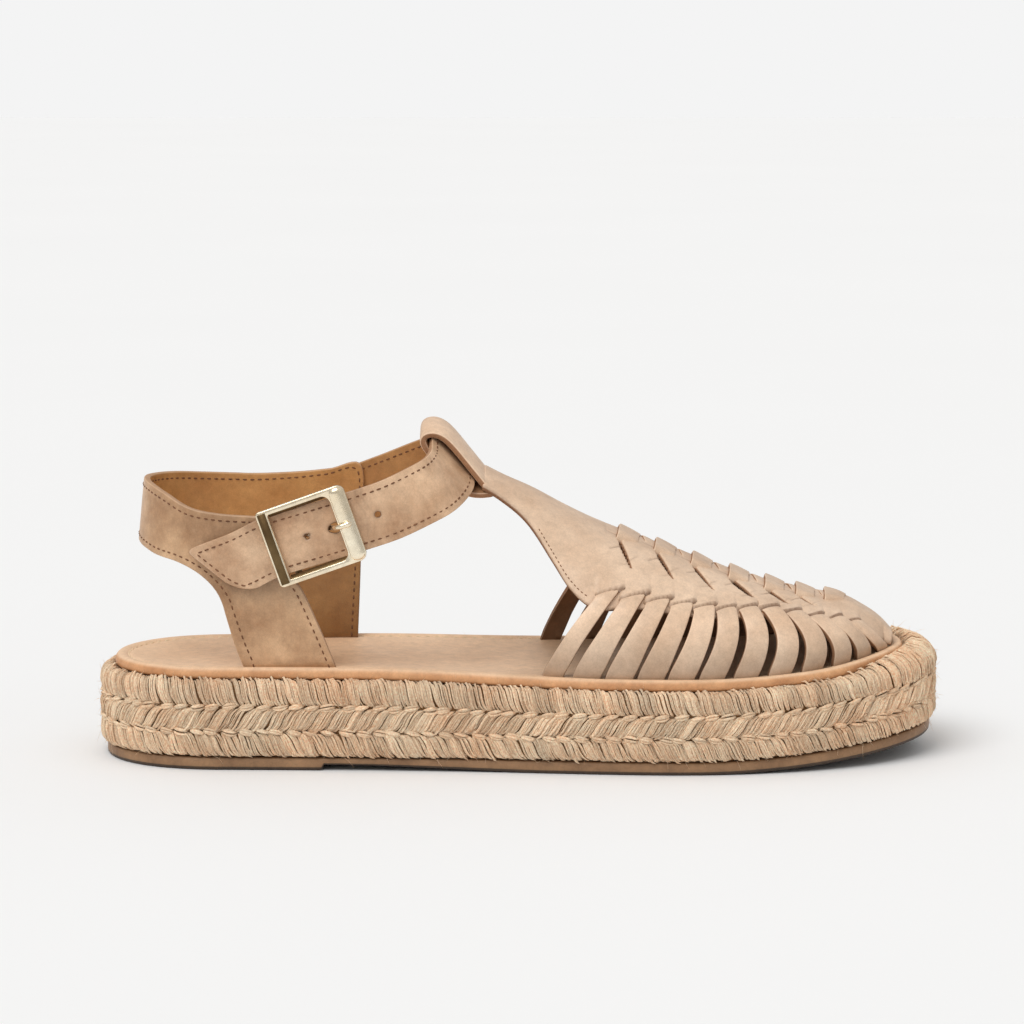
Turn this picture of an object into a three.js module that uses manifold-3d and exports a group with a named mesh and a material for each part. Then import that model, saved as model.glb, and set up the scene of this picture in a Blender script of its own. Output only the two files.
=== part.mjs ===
// Espadrille sandal for the right foot: woven T-bar vamp, heel quarter with two legs, buckled ankle strap,
// leather footbed, braided jute platform and rubber outsole.
// Millimetres. +X points to the toe, -Y to the outer side with the buckle, +Z up, Z = 0 is the floor.
import * as THREE from 'three';
import { mergeVertices } from 'three/addons/utils/BufferGeometryUtils.js';
import Module from 'manifold-3d';

const wasm = await Module();
wasm.setup();

// Platform, in plan
const soleLength = 262;
const heelBreadth = 70;
const waistBreadth = 77;
const ballBreadth = 92;

// Platform, in height
const outsoleThickness = 4;
const heelDeck = 27.4;
const ballDeck = 25;
const toeSpring = 7;
const waistRise = 1.8;
const outsoleInset = 2;
const braidRows = 3;
const braidBulge = 1.5;
const toeWrap = 2.4;

// Footbed
const insoleThickness = 3.6;
const insoleSideInset = 3.8;
const insoleHeelInset = 4.8;
const insoleToeInset = 10.5;
const rimWidth = 4.2;
const clearance = 0.3;

// Upper leather
const vampThickness = 2;
const quarterThickness = 2;
const strapThickness = 1.8;
const instepHeight = 60;
const ridgeLean = 2;
const stripCount = 12;
const stripWidth = 8.9;
const stripThickness = 1.8;
const stripLift = 0.9;
const crossingCount = 7;
const crossingLift = 1.3;
const crossingWidth = 5.2;
const slitWidth = 2.2;

// Loop at the top of the T-bar
const loopHalfWidth = 12.5;
const loopLength = 24;
const loopOpening = 6;
const instepRadius = 25;
const neckDrop = 3.3;

// Heel quarter and ankle strap
const collarHeight = 55.6;
const heelRoundLength = 35.3;
const quarterBreadth = 57;
const outerFlare = 0.17;
const heelLean = 0.1;
const heelSetback = 14;
const strapWidth = 18.6;
const strapTipSlant = 11;
const holeRadius = 0.95;

// Buckle
const buckleLength = 26.6;
const buckleBreadth = 23.2;
const buckleTilt = 19.4;
const frameCorner = 2.6;
const frameThickness = 1.8;
const frameEdge = 0.4;
const pivotSetback = 8;
const sideBar = 1.7;
const frontBar = 5.4;
const keeperBar = 3.6;
const lugLength = 3;
const barRadius = 1.1;
const prongWidth = 1.5;
const prongThickness = 1.2;
const chapeRadius = 2.3;
const chapeWidth = 15;

const toeTipX = soleLength / 2;
const heelTipX = -soleLength / 2;
const heelBackX = heelTipX + heelSetback;

// Value of one column of a table at `at`, on a smooth curve through its rows
function smoothColumn(rows, column, at) {
  const last = rows.length - 1;
  const clamped = Math.min(Math.max(at, rows[0].at), rows[last].at);
  let i = 0;
  while (i < last - 1 && clamped > rows[i + 1].at) i += 1;
  const span = (k) => rows[k + 1].at - rows[k].at;
  const rise = (k) => (rows[k + 1][column] - rows[k][column]) / span(k);
  const slope = (k) => (k === 0 ? rise(0) : k === last ? rise(last - 1) : (rise(k - 1) + rise(k)) / 2);
  const t = (clamped - rows[i].at) / span(i);
  const a = 2 * t ** 3 - 3 * t ** 2 + 1;
  const b = t ** 3 - 2 * t ** 2 + t;
  const c = 3 * t ** 2 - 2 * t ** 3;
  const d = t ** 3 - t ** 2;
  return a * rows[i][column] + b * span(i) * slope(i) + c * rows[i + 1][column] + d * span(i) * slope(i + 1);
}

function smoothStep(from, to, value) {
  const t = Math.min(Math.max((value - from) / (to - from), 0), 1);
  return t * t * (3 - 2 * t);
}

// A mesh with its faces pointing out, from points and triangles
function closedGeometry(points, triangles) {
  const volume = triangles.reduce((sum, [a, b, c]) => (
    sum + points[a].dot(new THREE.Vector3().crossVectors(points[b], points[c]))
  ), 0);
  const geometry = new THREE.BufferGeometry();
  geometry.setAttribute('position', new THREE.Float32BufferAttribute(points.flatMap((p) => p.toArray()), 3));
  geometry.setIndex(triangles.flatMap(([a, b, c]) => (volume < 0 ? [a, c, b] : [a, b, c])));
  return geometry;
}

function solidOf(geometry) {
  const bare = geometry.clone();
  bare.deleteAttribute('normal');
  bare.deleteAttribute('uv');
  const merged = mergeVertices(bare, 1e-4);
  return new wasm.Manifold(new wasm.Mesh({
    numProp: 3,
    vertProperties: new Float32Array(merged.attributes.position.array),
    triVerts: new Uint32Array(merged.index.array),
  }));
}

function geometryOf(solid) {
  const mesh = solid.getMesh();
  const geometry = new THREE.BufferGeometry();
  geometry.setAttribute('position', new THREE.BufferAttribute(new Float32Array(mesh.vertProperties), 3));
  geometry.setIndex(new THREE.BufferAttribute(new Uint32Array(mesh.triVerts), 1));
  return geometry;
}

function joined(solids) {
  return solids.reduce((whole, next) => whole.add(next));
}

// The platform's plan: stations from toe to heel, closer together at both tips, with the heel breast between

const soleRows = [
  { at: 0.0, breadth: heelBreadth, centre: -0.032 },
  { at: 0.13, breadth: heelBreadth, centre: -0.034 },
  { at: 0.42, breadth: waistBreadth, centre: -0.027 },
  { at: 0.66, breadth: ballBreadth, centre: -0.006 },
  { at: 0.8, breadth: ballBreadth * 1.02, centre: 0 },
  { at: 1.0, breadth: ballBreadth * 1.03, centre: 0.012 },
];
const heelBreast = 0.27;
const breastSlope = 0.008;
const stationCount = 26;
const heelRound = { length: 0.15, power: 2.1 };
const toeRound = { outer: { length: 0.35, power: 2.2 }, inner: { length: 0.29, power: 2.5 } };

function stations() {
  const last = stationCount - 1;
  const spread = Array.from({ length: stationCount }, (_, i) => (1 + Math.cos(Math.PI * i / last)) / 2);
  const kept = spread.filter((at) => Math.abs(at - heelBreast) > 2.5 * breastSlope);
  return [...kept, heelBreast + breastSlope / 2, heelBreast - breastSlope / 2].sort((a, b) => b - a);
}

function rounding(depth, power) {
  return Math.max(1 - Math.max(depth, 0) ** power, 0) ** (1 / power);
}

function soleEdge(at, side) {
  const toe = side < 0 ? toeRound.outer : toeRound.inner;
  const round = rounding((at - 1 + toe.length) / toe.length, toe.power)
    * rounding((heelRound.length - at) / heelRound.length, heelRound.power);
  const centre = smoothColumn(soleRows, 'centre', at) * ballBreadth;
  return centre + side * smoothColumn(soleRows, 'breadth', at) / 2 * round;
}

const soleStations = stations();
const ringSize = 2 * (soleStations.length - 1);

function soleOutline() {
  const xOf = (at) => heelTipX + at * soleLength;
  const outer = soleStations.map((at) => new THREE.Vector2(xOf(at), soleEdge(at, -1)));
  const inner = soleStations.slice(1, -1).reverse().map((at) => new THREE.Vector2(xOf(at), soleEdge(at, 1)));
  return [...outer, ...inner];
}

const outline = soleOutline();
const outlineNormals = outline.map((point, i) => {
  const ahead = outline[(i + 1) % ringSize];
  const behind = outline[(i + ringSize - 1) % ringSize];
  return new THREE.Vector2(ahead.y - behind.y, behind.x - ahead.x).normalize();
});
// The inward side of the outline is the one that the centre of the sole lies on
const inwardSign = outlineNormals[0].x > 0 ? -1 : 1;

function insetPlan(insetAt) {
  return outline.map((point, i) => (
    point.clone().addScaledVector(outlineNormals[i], inwardSign * insetAt(point.x))
  ));
}

// Heights along the platform

const springStart = 0.71;

function spring(x) {
  const start = heelTipX + springStart * soleLength;
  return toeSpring * (Math.max(x - start, 0) / (toeTipX - start)) ** 1.8;
}

function treadHeight(x) {
  const breast = heelTipX + heelBreast * soleLength;
  const tread = breast + 0.28 * soleLength;
  const raised = x > breast ? waistRise * (1 - smoothStep(breast, tread, x)) : 0;
  return raised + spring(x);
}

function deckHeight(x) {
  const heelEnd = heelTipX + 0.3 * soleLength;
  const ballStart = heelTipX + 0.62 * soleLength;
  return heelDeck + (ballDeck - heelDeck) * smoothStep(heelEnd, ballStart, x) + spring(x);
}

// Solid between stacked rings of the outline; each end is closed by a ladder of quads across the sole
function stackedRings(rings) {
  const points = rings.flat();
  const triangles = [];
  const quad = (a, b, c, d) => triangles.push([a, b, c], [a, c, d]);
  for (let level = 0; level < rings.length - 1; level += 1) {
    for (let i = 0; i < ringSize; i += 1) {
      const next = (i + 1) % ringSize;
      const low = level * ringSize;
      const high = low + ringSize;
      quad(low + i, low + next, high + next, high + i);
    }
  }
  const cap = (start, turned) => {
    const add = (a, b, c) => triangles.push(turned ? [a, c, b] : [a, b, c]);
    add(start, start + ringSize - 1, start + 1);
    for (let i = 1; i < ringSize / 2 - 1; i += 1) {
      const across = start + ringSize - i;
      add(start + i, across, across - 1);
      add(start + i, across - 1, start + i + 1);
    }
    const heel = start + ringSize / 2;
    add(heel - 1, heel + 1, heel);
  };
  cap(0, false);
  cap((rings.length - 1) * ringSize, true);
  return closedGeometry(points, triangles);
}

function ring(insetAt, heightAt) {
  return insetPlan(insetAt).map((p) => new THREE.Vector3(p.x, p.y, heightAt(p.x)));
}

// Outsole edge from the tread up, in shares of the outsole's thickness
const outsoleProfile = [
  { inset: 0.25, up: 0 },
  { inset: 0, up: 0.2 },
  { inset: 0.05, up: 0.88 },
  { inset: 0.2, up: 1 },
];

function outsoleGeometry() {
  return stackedRings(outsoleProfile.map(({ inset, up }) => ring(
    () => outsoleInset + outsoleThickness * inset,
    (x) => treadHeight(x) + (outsoleThickness + spring(x) - treadHeight(x)) * up,
  )));
}

// One braided row from its lower to its upper seam, in shares of its height and of its bulge
const braidProfile = [
  { up: 0.08, inset: 0.9 },
  { up: 0.3, inset: 0.15 },
  { up: 0.68, inset: 0.1 },
  { up: 0.92, inset: 0.75 },
];
const braidTurnIn = 0.45;

// Braided rows bulge outward one above the other; the top row rolls over onto the deck
function midsoleGeometry() {
  const base = (x) => outsoleThickness + spring(x) + clearance;
  const rings = [ring(() => outsoleInset + braidBulge, base)];
  for (let row = 0; row < braidRows; row += 1) {
    for (const { up, inset } of braidProfile) {
      const share = (row + up) / braidRows;
      rings.push(ring(() => braidBulge * inset, (x) => base(x) + (deckHeight(x) - base(x)) * share));
    }
  }
  const wrap = (x) => toeWrap * smoothStep(toeTipX - 0.12 * soleLength, toeTipX - 0.02 * soleLength, x);
  rings.push(ring((x) => insoleInset(x) * braidTurnIn, (x) => deckHeight(x) + wrap(x)));
  rings.push(ring((x) => insoleInset(x) + 2 * clearance, deckHeight));
  return stackedRings(rings);
}

function insoleInset(x) {
  const toe = smoothStep(toeTipX - 0.16 * soleLength, toeTipX - 0.01 * soleLength, x);
  const heel = smoothStep(heelTipX + 0.1 * soleLength, heelTipX, x);
  const toeExtra = insoleToeInset - insoleSideInset;
  const heelExtra = insoleHeelInset - insoleSideInset;
  return insoleSideInset + toeExtra * toe + heelExtra * heel;
}

// Footbed section from its lower edge over the rolled rim and stitched groove to the cushioned middle, in
// shares of the rim's width and of the footbed's thickness
const insoleProfile = [
  { inset: 0.21, up: 0 },
  { inset: 0, up: 0.3 },
  { inset: 0.02, up: 0.68 },
  { inset: 0.21, up: 0.93 },
  { inset: 0.52, up: 1 },
  { inset: 1, up: 0.84 },
  { inset: 1.48, up: 0.88 },
  { inset: 4.1, up: 0.62 },
];
const featherUp = 0.75;

function insoleBase(x) {
  return deckHeight(x) + clearance;
}

function insoleGeometry() {
  return stackedRings(insoleProfile.map(({ inset, up }) => ring(
    (x) => insoleInset(x) + rimWidth * inset,
    (x) => insoleBase(x) + insoleThickness * up,
  )));
}

// Where the upper comes down: a line just inside the rolled rim, a clearance above the footbed

const featherInset = rimWidth + vampThickness;
const toeBluntness = 1.7;
const featherPlan = insetPlan((x) => insoleInset(x) + featherInset);

function featherHeight(x) {
  return insoleBase(x) + insoleThickness * featherUp;
}

// The footbed with a clearance above it, which trims whatever stands on it
function footbedSpace() {
  const sunk = { inset: 0, up: -1 };
  return solidOf(stackedRings([sunk, ...insoleProfile].map(({ inset, up }) => ring(
    (x) => insoleInset(x) + rimWidth * inset - (inset < 0.5 ? clearance : 0),
    (x) => insoleBase(x) + insoleThickness * up + clearance,
  ))));
}

function featherEdge(x, side) {
  const half = ringSize / 2;
  const outer = featherPlan.slice(0, half + 1);
  const inner = [featherPlan[0], ...featherPlan.slice(half).reverse()];
  const line = side < 0 ? outer : inner;
  const clamped = Math.min(Math.max(x, line[half].x), line[0].x - toeBluntness);
  let i = 0;
  while (i < half - 1 && clamped < line[i + 1].x) i += 1;
  const t = (clamped - line[i].x) / (line[i + 1].x - line[i].x);
  return line[i].y + t * (line[i + 1].y - line[i].y);
}

// The last over the instep and forefoot: ridge height as a share of the instep height, half breadth as a
// share of the feather edge's, and how full the section is (2 is an ellipse)
const lastRows = [
  { at: 0.451, ridge: 0.98, reach: 0.93, full: 2.05 },
  { at: 0.477, ridge: 0.926, reach: 0.94, full: 2.1 },
  { at: 0.513, ridge: 0.861, reach: 0.95, full: 2.15 },
  { at: 0.549, ridge: 0.781, reach: 0.97, full: 2.2 },
  { at: 0.585, ridge: 0.707, reach: 1, full: 2.25 },
  { at: 0.664, ridge: 0.573, reach: 1, full: 2.3 },
  { at: 0.752, ridge: 0.43, reach: 1, full: 2.3 },
  { at: 0.856, ridge: 0.28, reach: 1, full: 2.3 },
  { at: 0.888, ridge: 0.247, reach: 1, full: 2.25 },
  { at: 0.909, ridge: 0.19, reach: 1, full: 2.2 },
  { at: 0.928, ridge: 0.125, reach: 1, full: 2.1 },
  { at: 0.945, ridge: 0.035, reach: 1, full: 2 },
];

// Point on the last, which the leather's inner face follows: girth runs from -1 at the outer feather edge
// over 0 at the ridge to 1
function lastPoint(x, girth) {
  const at = (x - heelTipX) / soleLength;
  const side = girth < 0 ? -1 : 1;
  const angle = Math.min(Math.abs(girth), 1) * Math.PI / 2;
  const power = 2 / smoothColumn(lastRows, 'full', at);
  const toeTaper = smoothStep(0.945, 0.85, at);
  const ridgeY = ridgeLean * toeTaper;
  const reach = featherEdge(x, side) * smoothColumn(lastRows, 'reach', at) - ridgeY;
  const height = instepHeight * smoothColumn(lastRows, 'ridge', at);
  return new THREE.Vector3(
    x,
    ridgeY + reach * Math.sin(angle) ** power,
    featherHeight(x) + height * Math.max(Math.cos(angle), 0) ** power,
  );
}

// Leather wall over a grid of points on its outer face, from `low` to `high` along the face's normal.
// A row of `lifts` raises each grid row on its own.
function leatherWall(grid, low, high, lifts = null) {
  const rows = grid.length;
  const columns = grid[0].length;
  const clampTo = (value, count) => Math.min(Math.max(value, 0), count - 1);
  const cell = (i, j) => grid[clampTo(i, rows)][clampTo(j, columns)];
  const normalAt = (i, j) => {
    const along = new THREE.Vector3().subVectors(cell(i + 1, j), cell(i - 1, j));
    const across = new THREE.Vector3().subVectors(cell(i, j + 1), cell(i, j - 1));
    return along.cross(across).normalize();
  };
  const points = [];
  for (const offset of [high, low]) {
    for (let i = 0; i < rows; i += 1) {
      for (let j = 0; j < columns; j += 1) {
        const lift = lifts ? lifts[i] : 0;
        points.push(cell(i, j).clone().addScaledVector(normalAt(i, j), offset + lift));
      }
    }
  }
  const id = (layer, i, j) => layer * rows * columns + i * columns + j;
  const triangles = [];
  const quad = (a, b, c, d) => triangles.push([a, b, c], [a, c, d]);
  for (let i = 0; i < rows - 1; i += 1) {
    for (let j = 0; j < columns - 1; j += 1) {
      quad(id(0, i, j), id(0, i, j + 1), id(0, i + 1, j + 1), id(0, i + 1, j));
      quad(id(1, i, j), id(1, i + 1, j), id(1, i + 1, j + 1), id(1, i, j + 1));
    }
    quad(id(0, i, 0), id(0, i + 1, 0), id(1, i + 1, 0), id(1, i, 0));
    quad(id(0, i + 1, columns - 1), id(0, i, columns - 1), id(1, i, columns - 1), id(1, i + 1, columns - 1));
  }
  for (let j = 0; j < columns - 1; j += 1) {
    quad(id(0, 0, j + 1), id(0, 0, j), id(1, 0, j), id(1, 0, j + 1));
    quad(id(0, rows - 1, j), id(0, rows - 1, j + 1), id(1, rows - 1, j + 1), id(1, rows - 1, j));
  }
  return solidOf(closedGeometry(points, triangles));
}

// Vamp: side strips, central panel with slits and raised crossings, T-bar and its loop

// Where each side strip's middle starts at the feather edge and ends in its slot on the outer and the inner
// side, as shares of the sole's length, its breadth at both ends as shares of the strip breadth, how far it
// bows forward, and the slot's girth
const stripRows = [
  { at: 1, base: 0.539, top: 0.605, innerTop: 0.596, foot: 0.8, head: 0.8, bow: 0.002, edge: 0.6 },
  { at: 2, base: 0.578, top: 0.634, innerTop: 0.63, foot: 1, head: 0.84, bow: 0.002, edge: 0.59 },
  { at: 4, base: 0.652, top: 0.689, innerTop: 0.689, foot: 1, head: 0.76, bow: 0.004, edge: 0.57 },
  { at: 6, base: 0.722, top: 0.739, innerTop: 0.739, foot: 0.94, head: 0.66, bow: 0.009, edge: 0.53 },
  { at: 8, base: 0.801, top: 0.791, innerTop: 0.791, foot: 0.85, head: 0.6, bow: 0.014, edge: 0.44 },
  { at: 10, base: 0.873, top: 0.845, innerTop: 0.845, foot: 0.62, head: 0.55, bow: 0.01, edge: 0.46 },
  { at: 12, base: 0.928, top: 0.89, innerTop: 0.89, foot: 0.42, head: 0.46, bow: 0.004, edge: 0.52 },
];

function strip(index, side) {
  const value = (column) => smoothColumn(stripRows, column, index);
  return {
    baseX: heelTipX + value('base') * soleLength,
    topX: heelTipX + value(side < 0 ? 'top' : 'innerTop') * soleLength,
    foot: value('foot') * stripWidth,
    head: value('head') * stripWidth,
    bow: value('bow') * soleLength,
    edge: value('edge'),
  };
}

const stripSteps = 5;
const slotSlant = 0.035;
const slotDepth = 0.03;
const vampTipX = heelTipX + 0.9425 * soleLength;

// A strip lies proud of the panel and dips through it along a slanted slot
function sideStrip(index, side) {
  const { baseX, topX, foot, head, bow, edge } = strip(index, side);
  const grid = [];
  const lifts = [];
  for (let i = 0; i <= stripSteps + 1; i += 1) {
    const t = Math.min(i / stripSteps, 1);
    const inSlot = i > stripSteps ? slotDepth : 0;
    const middle = baseX + (topX - baseX) * t + bow * Math.sin(Math.PI * t);
    const half = (foot + (head - foot) * t) / 2;
    grid.push([-1, 1].map((end) => {
      const slot = edge - end * slotSlant - inSlot;
      return lastPoint(Math.min(middle + end * half, vampTipX), side * (1 + (slot - 1) * t));
    }));
    lifts.push(inSlot > 0 ? -vampThickness / 2 : stripLift * Math.min(t * 4, 1));
  }
  if (side < 0) grid.forEach((row) => row.reverse());
  return leatherWall(grid, vampThickness - stripThickness, vampThickness, lifts);
}

const panelColumns = 6;

// Half width of the panel as a girth share: T-bar, then just below the strips' slots, then the toe piece
const panelRows = [
  { at: 0.455, half: 0.26 },
  { at: 0.477, half: 0.28 },
  { at: 0.507, half: 0.36 },
  { at: 0.539, half: 0.53 },
  { at: 0.558, half: 0.63 },
  { at: 0.585, half: 0.7 },
  { at: 0.634, half: 0.66 },
  { at: 0.689, half: 0.64 },
  { at: 0.739, half: 0.6 },
  { at: 0.791, half: 0.52 },
  { at: 0.845, half: 0.53 },
  { at: 0.893, half: 0.58 },
  { at: 0.92, half: 0.74 },
  { at: 0.9425, half: 0.88 },
];
const panelSteps = 13;

function panelWall() {
  const first = panelRows[0].at;
  const last = panelRows[panelRows.length - 1].at;
  const places = Array.from({ length: panelSteps + 1 }, (_, i) => first + (last - first) * i / panelSteps);
  const grid = places.map((at) => {
    const half = smoothColumn(panelRows, 'half', at);
    const x = heelTipX + at * soleLength;
    const girths = Array.from({ length: panelColumns + 1 }, (_, j) => half * (2 * j / panelColumns - 1));
    return girths.map((girth) => lastPoint(x, girth));
  });
  return leatherWall(grid, 0, vampThickness);
}

// Slits beside each crossing: where each starts near the ridge and ends lower down
const slitRows = [
  { at: 1, topX: 0.617, lowX: 0.63, topGirth: 0.24, lowGirth: 0.49 },
  { at: 3, topX: 0.705, lowX: 0.727, topGirth: 0.22, lowGirth: 0.46 },
  { at: 5, topX: 0.793, lowX: 0.817, topGirth: 0.2, lowGirth: 0.4 },
  { at: 7, topX: 0.866, lowX: 0.876, topGirth: 0.18, lowGirth: 0.33 },
];
const slitSteps = 3;
const slitEnds = 0.3;

function slitCutter(index, side) {
  const value = (column) => smoothColumn(slitRows, column, index);
  const grid = [];
  for (let i = 0; i <= slitSteps; i += 1) {
    const t = i / slitSteps;
    const x = heelTipX + soleLength * (value('topX') + (value('lowX') - value('topX')) * t);
    const girth = value('topGirth') + (value('lowGirth') - value('topGirth')) * t;
    const half = slitWidth / 2 * (slitEnds + (1 - slitEnds) * Math.sin(Math.PI * t));
    grid.push([-half, half].map((dx) => lastPoint(x + dx, side * girth)));
  }
  if (side < 0) grid.forEach((row) => row.reverse());
  return leatherWall(grid, -vampThickness, 3 * vampThickness);
}

// A strip that comes over the ridge from one side and dives into the slit on the other: how far it has gone,
// in shares of the slit's girth, and how high it lies
const crossingRows = [
  { reach: 1.02, lift: 0.5 },
  { reach: 0.65, lift: 1 },
  { reach: -0.4, lift: 0.9 },
  { reach: -1.3, lift: -0.45 },
];

function crossing(index, side) {
  const value = (column) => smoothColumn(slitRows, column, index);
  const pitch = (slitRows[3].topX - slitRows[0].topX) / (crossingCount - 1) * soleLength;
  const stagger = side < 0 ? 0 : pitch / 2;
  const middle = heelTipX + value('topX') * soleLength + crossingWidth / 2 + stagger;
  const half = crossingWidth / 2;
  const grid = crossingRows.map(({ reach }) => [-half, half].map((dx) => (
    lastPoint(middle + dx, side * value('topGirth') * reach)
  )));
  if (side < 0) grid.forEach((row) => row.reverse());
  const lifts = crossingRows.map(({ lift }) => crossingLift * lift);
  return leatherWall(grid, vampThickness / 2, vampThickness, lifts);
}

// The loop: the T-bar's end goes up over the ankle strap, folds back and is sewn down behind the neck.
// Its side profile runs along the slope of the instep, in shares of the loop's length and of its opening.
const loopRows = [
  { along: -0.06, up: 0.6 },
  { along: 0.06, up: 0.48 },
  { along: 0.2, up: 0.5 },
  { along: 0.4, up: 0.56 },
  { along: 0.7, up: 0.64 },
  { along: 0.88, up: 0.6 },
  { along: 1.0, up: 0.38 },
  { along: 1.06, up: 0 },
  { along: 1.02, up: -0.32 },
  { along: 0.86, up: -0.46 },
  { along: 0.55, up: -0.48 },
  { along: 0.3, up: -0.48 },
  { along: 0.14, up: -0.4 },
  { along: 0.02, up: -0.02 },
  { along: -0.08, up: 0.5 },
];
const loopSlope = 47;
const loopSteps = 5;
const neckAt = 0.456;

function loopPoint({ along, up }, y) {
  const slope = THREE.MathUtils.degToRad(loopSlope);
  const neck = lastPoint(heelTipX + neckAt * soleLength, 0);
  const across = loopOpening * up;
  const length = loopLength * along;
  const drop = instepRadius - Math.sqrt(instepRadius ** 2 - (y - ridgeLean) ** 2);
  return new THREE.Vector3(
    neck.x - length * Math.cos(slope) + across * Math.sin(slope),
    y,
    neck.z - neckDrop + length * Math.sin(slope) + across * Math.cos(slope) - drop,
  );
}

function loopWall() {
  const grid = loopRows.map((row) => Array.from({ length: loopSteps + 1 }, (_, j) => (
    loopPoint(row, ridgeLean + loopHalfWidth * (2 * j / loopSteps - 1))
  )));
  return leatherWall(grid, -vampThickness / 2, vampThickness / 2);
}

function upperSolid() {
  const sides = [-1, 1];
  const numbers = (count) => Array.from({ length: count }, (_, i) => i + 1);
  const strips = sides.flatMap((side) => numbers(stripCount).map((i) => sideStrip(i, side)));
  const slits = sides.flatMap((side) => numbers(crossingCount - 1).map((i) => slitCutter(i, side)));
  const crossings = sides.flatMap((side) => numbers(crossingCount).map((i) => crossing(i, side)));
  const panel = panelWall().subtract(joined(slits));
  return joined([panel, loopWall(), ...strips, ...crossings]).subtract(footbedSpace());
}

// Heel quarter: a band around the heel that turns down into a leg on each side.
// `turn` runs from 0 at the back of the heel over 1 at its side and on forward in heel lengths; heights are
// shares of the collar height above the footbed. Each row spans from the lower or rear edge to the upper or
// front edge, and the last one stands on the footbed.
const outerQuarterRows = [
  { lowTurn: 0.237, lowHeight: 0.626, topTurn: 0.237, topHeight: 0.985 },
  { lowTurn: 0.392, lowHeight: 0.6, topTurn: 0.437, topHeight: 0.946 },
  { lowTurn: 0.565, lowHeight: 0.575, topTurn: 0.638, topHeight: 0.879 },
  { lowTurn: 0.684, lowHeight: 0.532, topTurn: 0.825, topHeight: 0.854 },
  { lowTurn: 0.764, lowHeight: 0.478, topTurn: 0.995, topHeight: 0.845 },
  { lowTurn: 0.815, lowHeight: 0.42, topTurn: 1.198, topHeight: 0.824 },
  { lowTurn: 0.845, lowHeight: 0.36, topTurn: 1.338, topHeight: 0.568 },
  { lowTurn: 0.86, lowHeight: 0.31, topTurn: 1.323, topHeight: 0.514 },
  { lowTurn: 0.88, lowHeight: 0.24, topTurn: 1.428, topHeight: 0.453 },
  { lowTurn: 0.915, lowHeight: 0.12, topTurn: 1.575, topHeight: 0.248 },
  { lowTurn: 0.959, lowHeight: 0, topTurn: 1.731, topHeight: 0 },
];
const innerQuarterRows = [
  { lowTurn: 0.237, lowHeight: 0.632, topTurn: 0.237, topHeight: 0.995 },
  { lowTurn: 0.392, lowHeight: 0.61, topTurn: 0.437, topHeight: 0.985 },
  { lowTurn: 0.586, lowHeight: 0.59, topTurn: 0.638, topHeight: 0.968 },
  { lowTurn: 0.728, lowHeight: 0.56, topTurn: 0.83, topHeight: 0.955 },
  { lowTurn: 0.845, lowHeight: 0.51, topTurn: 0.98, topHeight: 0.95 },
  { lowTurn: 0.93, lowHeight: 0.44, topTurn: 1.331, topHeight: 0.96 },
  { lowTurn: 0.985, lowHeight: 0.35, topTurn: 1.603, topHeight: 0.977 },
  { lowTurn: 1.03, lowHeight: 0.25, topTurn: 1.889, topHeight: 0.996 },
  { lowTurn: 1.06, lowHeight: 0.17, topTurn: 1.886, topHeight: 0.662 },
  { lowTurn: 1.085, lowHeight: 0.09, topTurn: 1.875, topHeight: 0.338 },
  { lowTurn: 1.105, lowHeight: 0, topTurn: 1.855, topHeight: 0 },
];
const heelCentreRow = { lowTurn: 0, lowHeight: 0.649, topTurn: 0, topHeight: 1 };
const quarterColumns = 4;

function quarterPoint(turn, height, side) {
  const angle = Math.min(turn, 1) * Math.PI / 2;
  const forward = Math.max(turn - 1, 0) * heelRoundLength;
  const x = heelBackX + heelRoundLength * (1 - Math.cos(angle)) + forward
    + heelLean * (height - 0.8) * collarHeight * Math.cos(angle);
  const z = featherHeight(x) + height * collarHeight;
  const flare = side < 0 ? outerFlare : 0;
  const top = side * (quarterBreadth / 2 * Math.sin(angle) + flare * forward);
  const foot = turn > 0.5 ? featherEdge(x, side) : top;
  return new THREE.Vector3(x, foot + (top - foot) * smoothStep(0, 0.6, height), z);
}

function quarterGrid(rows, side) {
  return rows.map((row) => Array.from({ length: quarterColumns + 1 }, (_, j) => {
    const t = j / quarterColumns;
    const turn = row.lowTurn + (row.topTurn - row.lowTurn) * t;
    return quarterPoint(turn, row.lowHeight + (row.topHeight - row.lowHeight) * t, side);
  }));
}

// The buckle's own frame: u forward along the strap, v up across it and w outward, around the strap's middle
const pivotTurn = 1.31;
const pivotU = -pivotSetback;
const buckleTurn = 1.533;
const buckleRise = 0.755;
const pivotW = -strapThickness / 2 - clearance - chapeRadius;

function buckleCentre() {
  const middle = quarterPoint(buckleTurn, buckleRise, -1);
  middle.y = quarterPoint(pivotTurn, buckleRise, -1).y + pivotW;
  return middle;
}

const buckleFrame = new THREE.Matrix4()
  .makeTranslation(buckleCentre())
  .multiply(new THREE.Matrix4().makeRotationY(-THREE.MathUtils.degToRad(buckleTilt)))
  .multiply(new THREE.Matrix4().makeRotationX(Math.PI / 2));

function placed(geometry) {
  return solidOf(geometry.applyMatrix4(buckleFrame));
}

// A profile drawn in u and w, drawn out along v to both sides of the middle
function acrossStrap(shape, length) {
  const geometry = new THREE.ExtrudeGeometry(shape, { depth: length, bevelEnabled: false, curveSegments: 6 });
  return geometry.translate(0, 0, -length / 2).rotateX(Math.PI / 2);
}

function barAcross(radius, length, sides) {
  return new THREE.CylinderGeometry(radius, radius, length, sides).translate(pivotU, 0, pivotW);
}

function box(u, v, w) {
  const geometry = new THREE.BoxGeometry(u[1] - u[0], v[1] - v[0], w[1] - w[0]);
  return geometry.translate((u[0] + u[1]) / 2, (v[0] + v[1]) / 2, (w[0] + w[1]) / 2);
}

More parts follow.
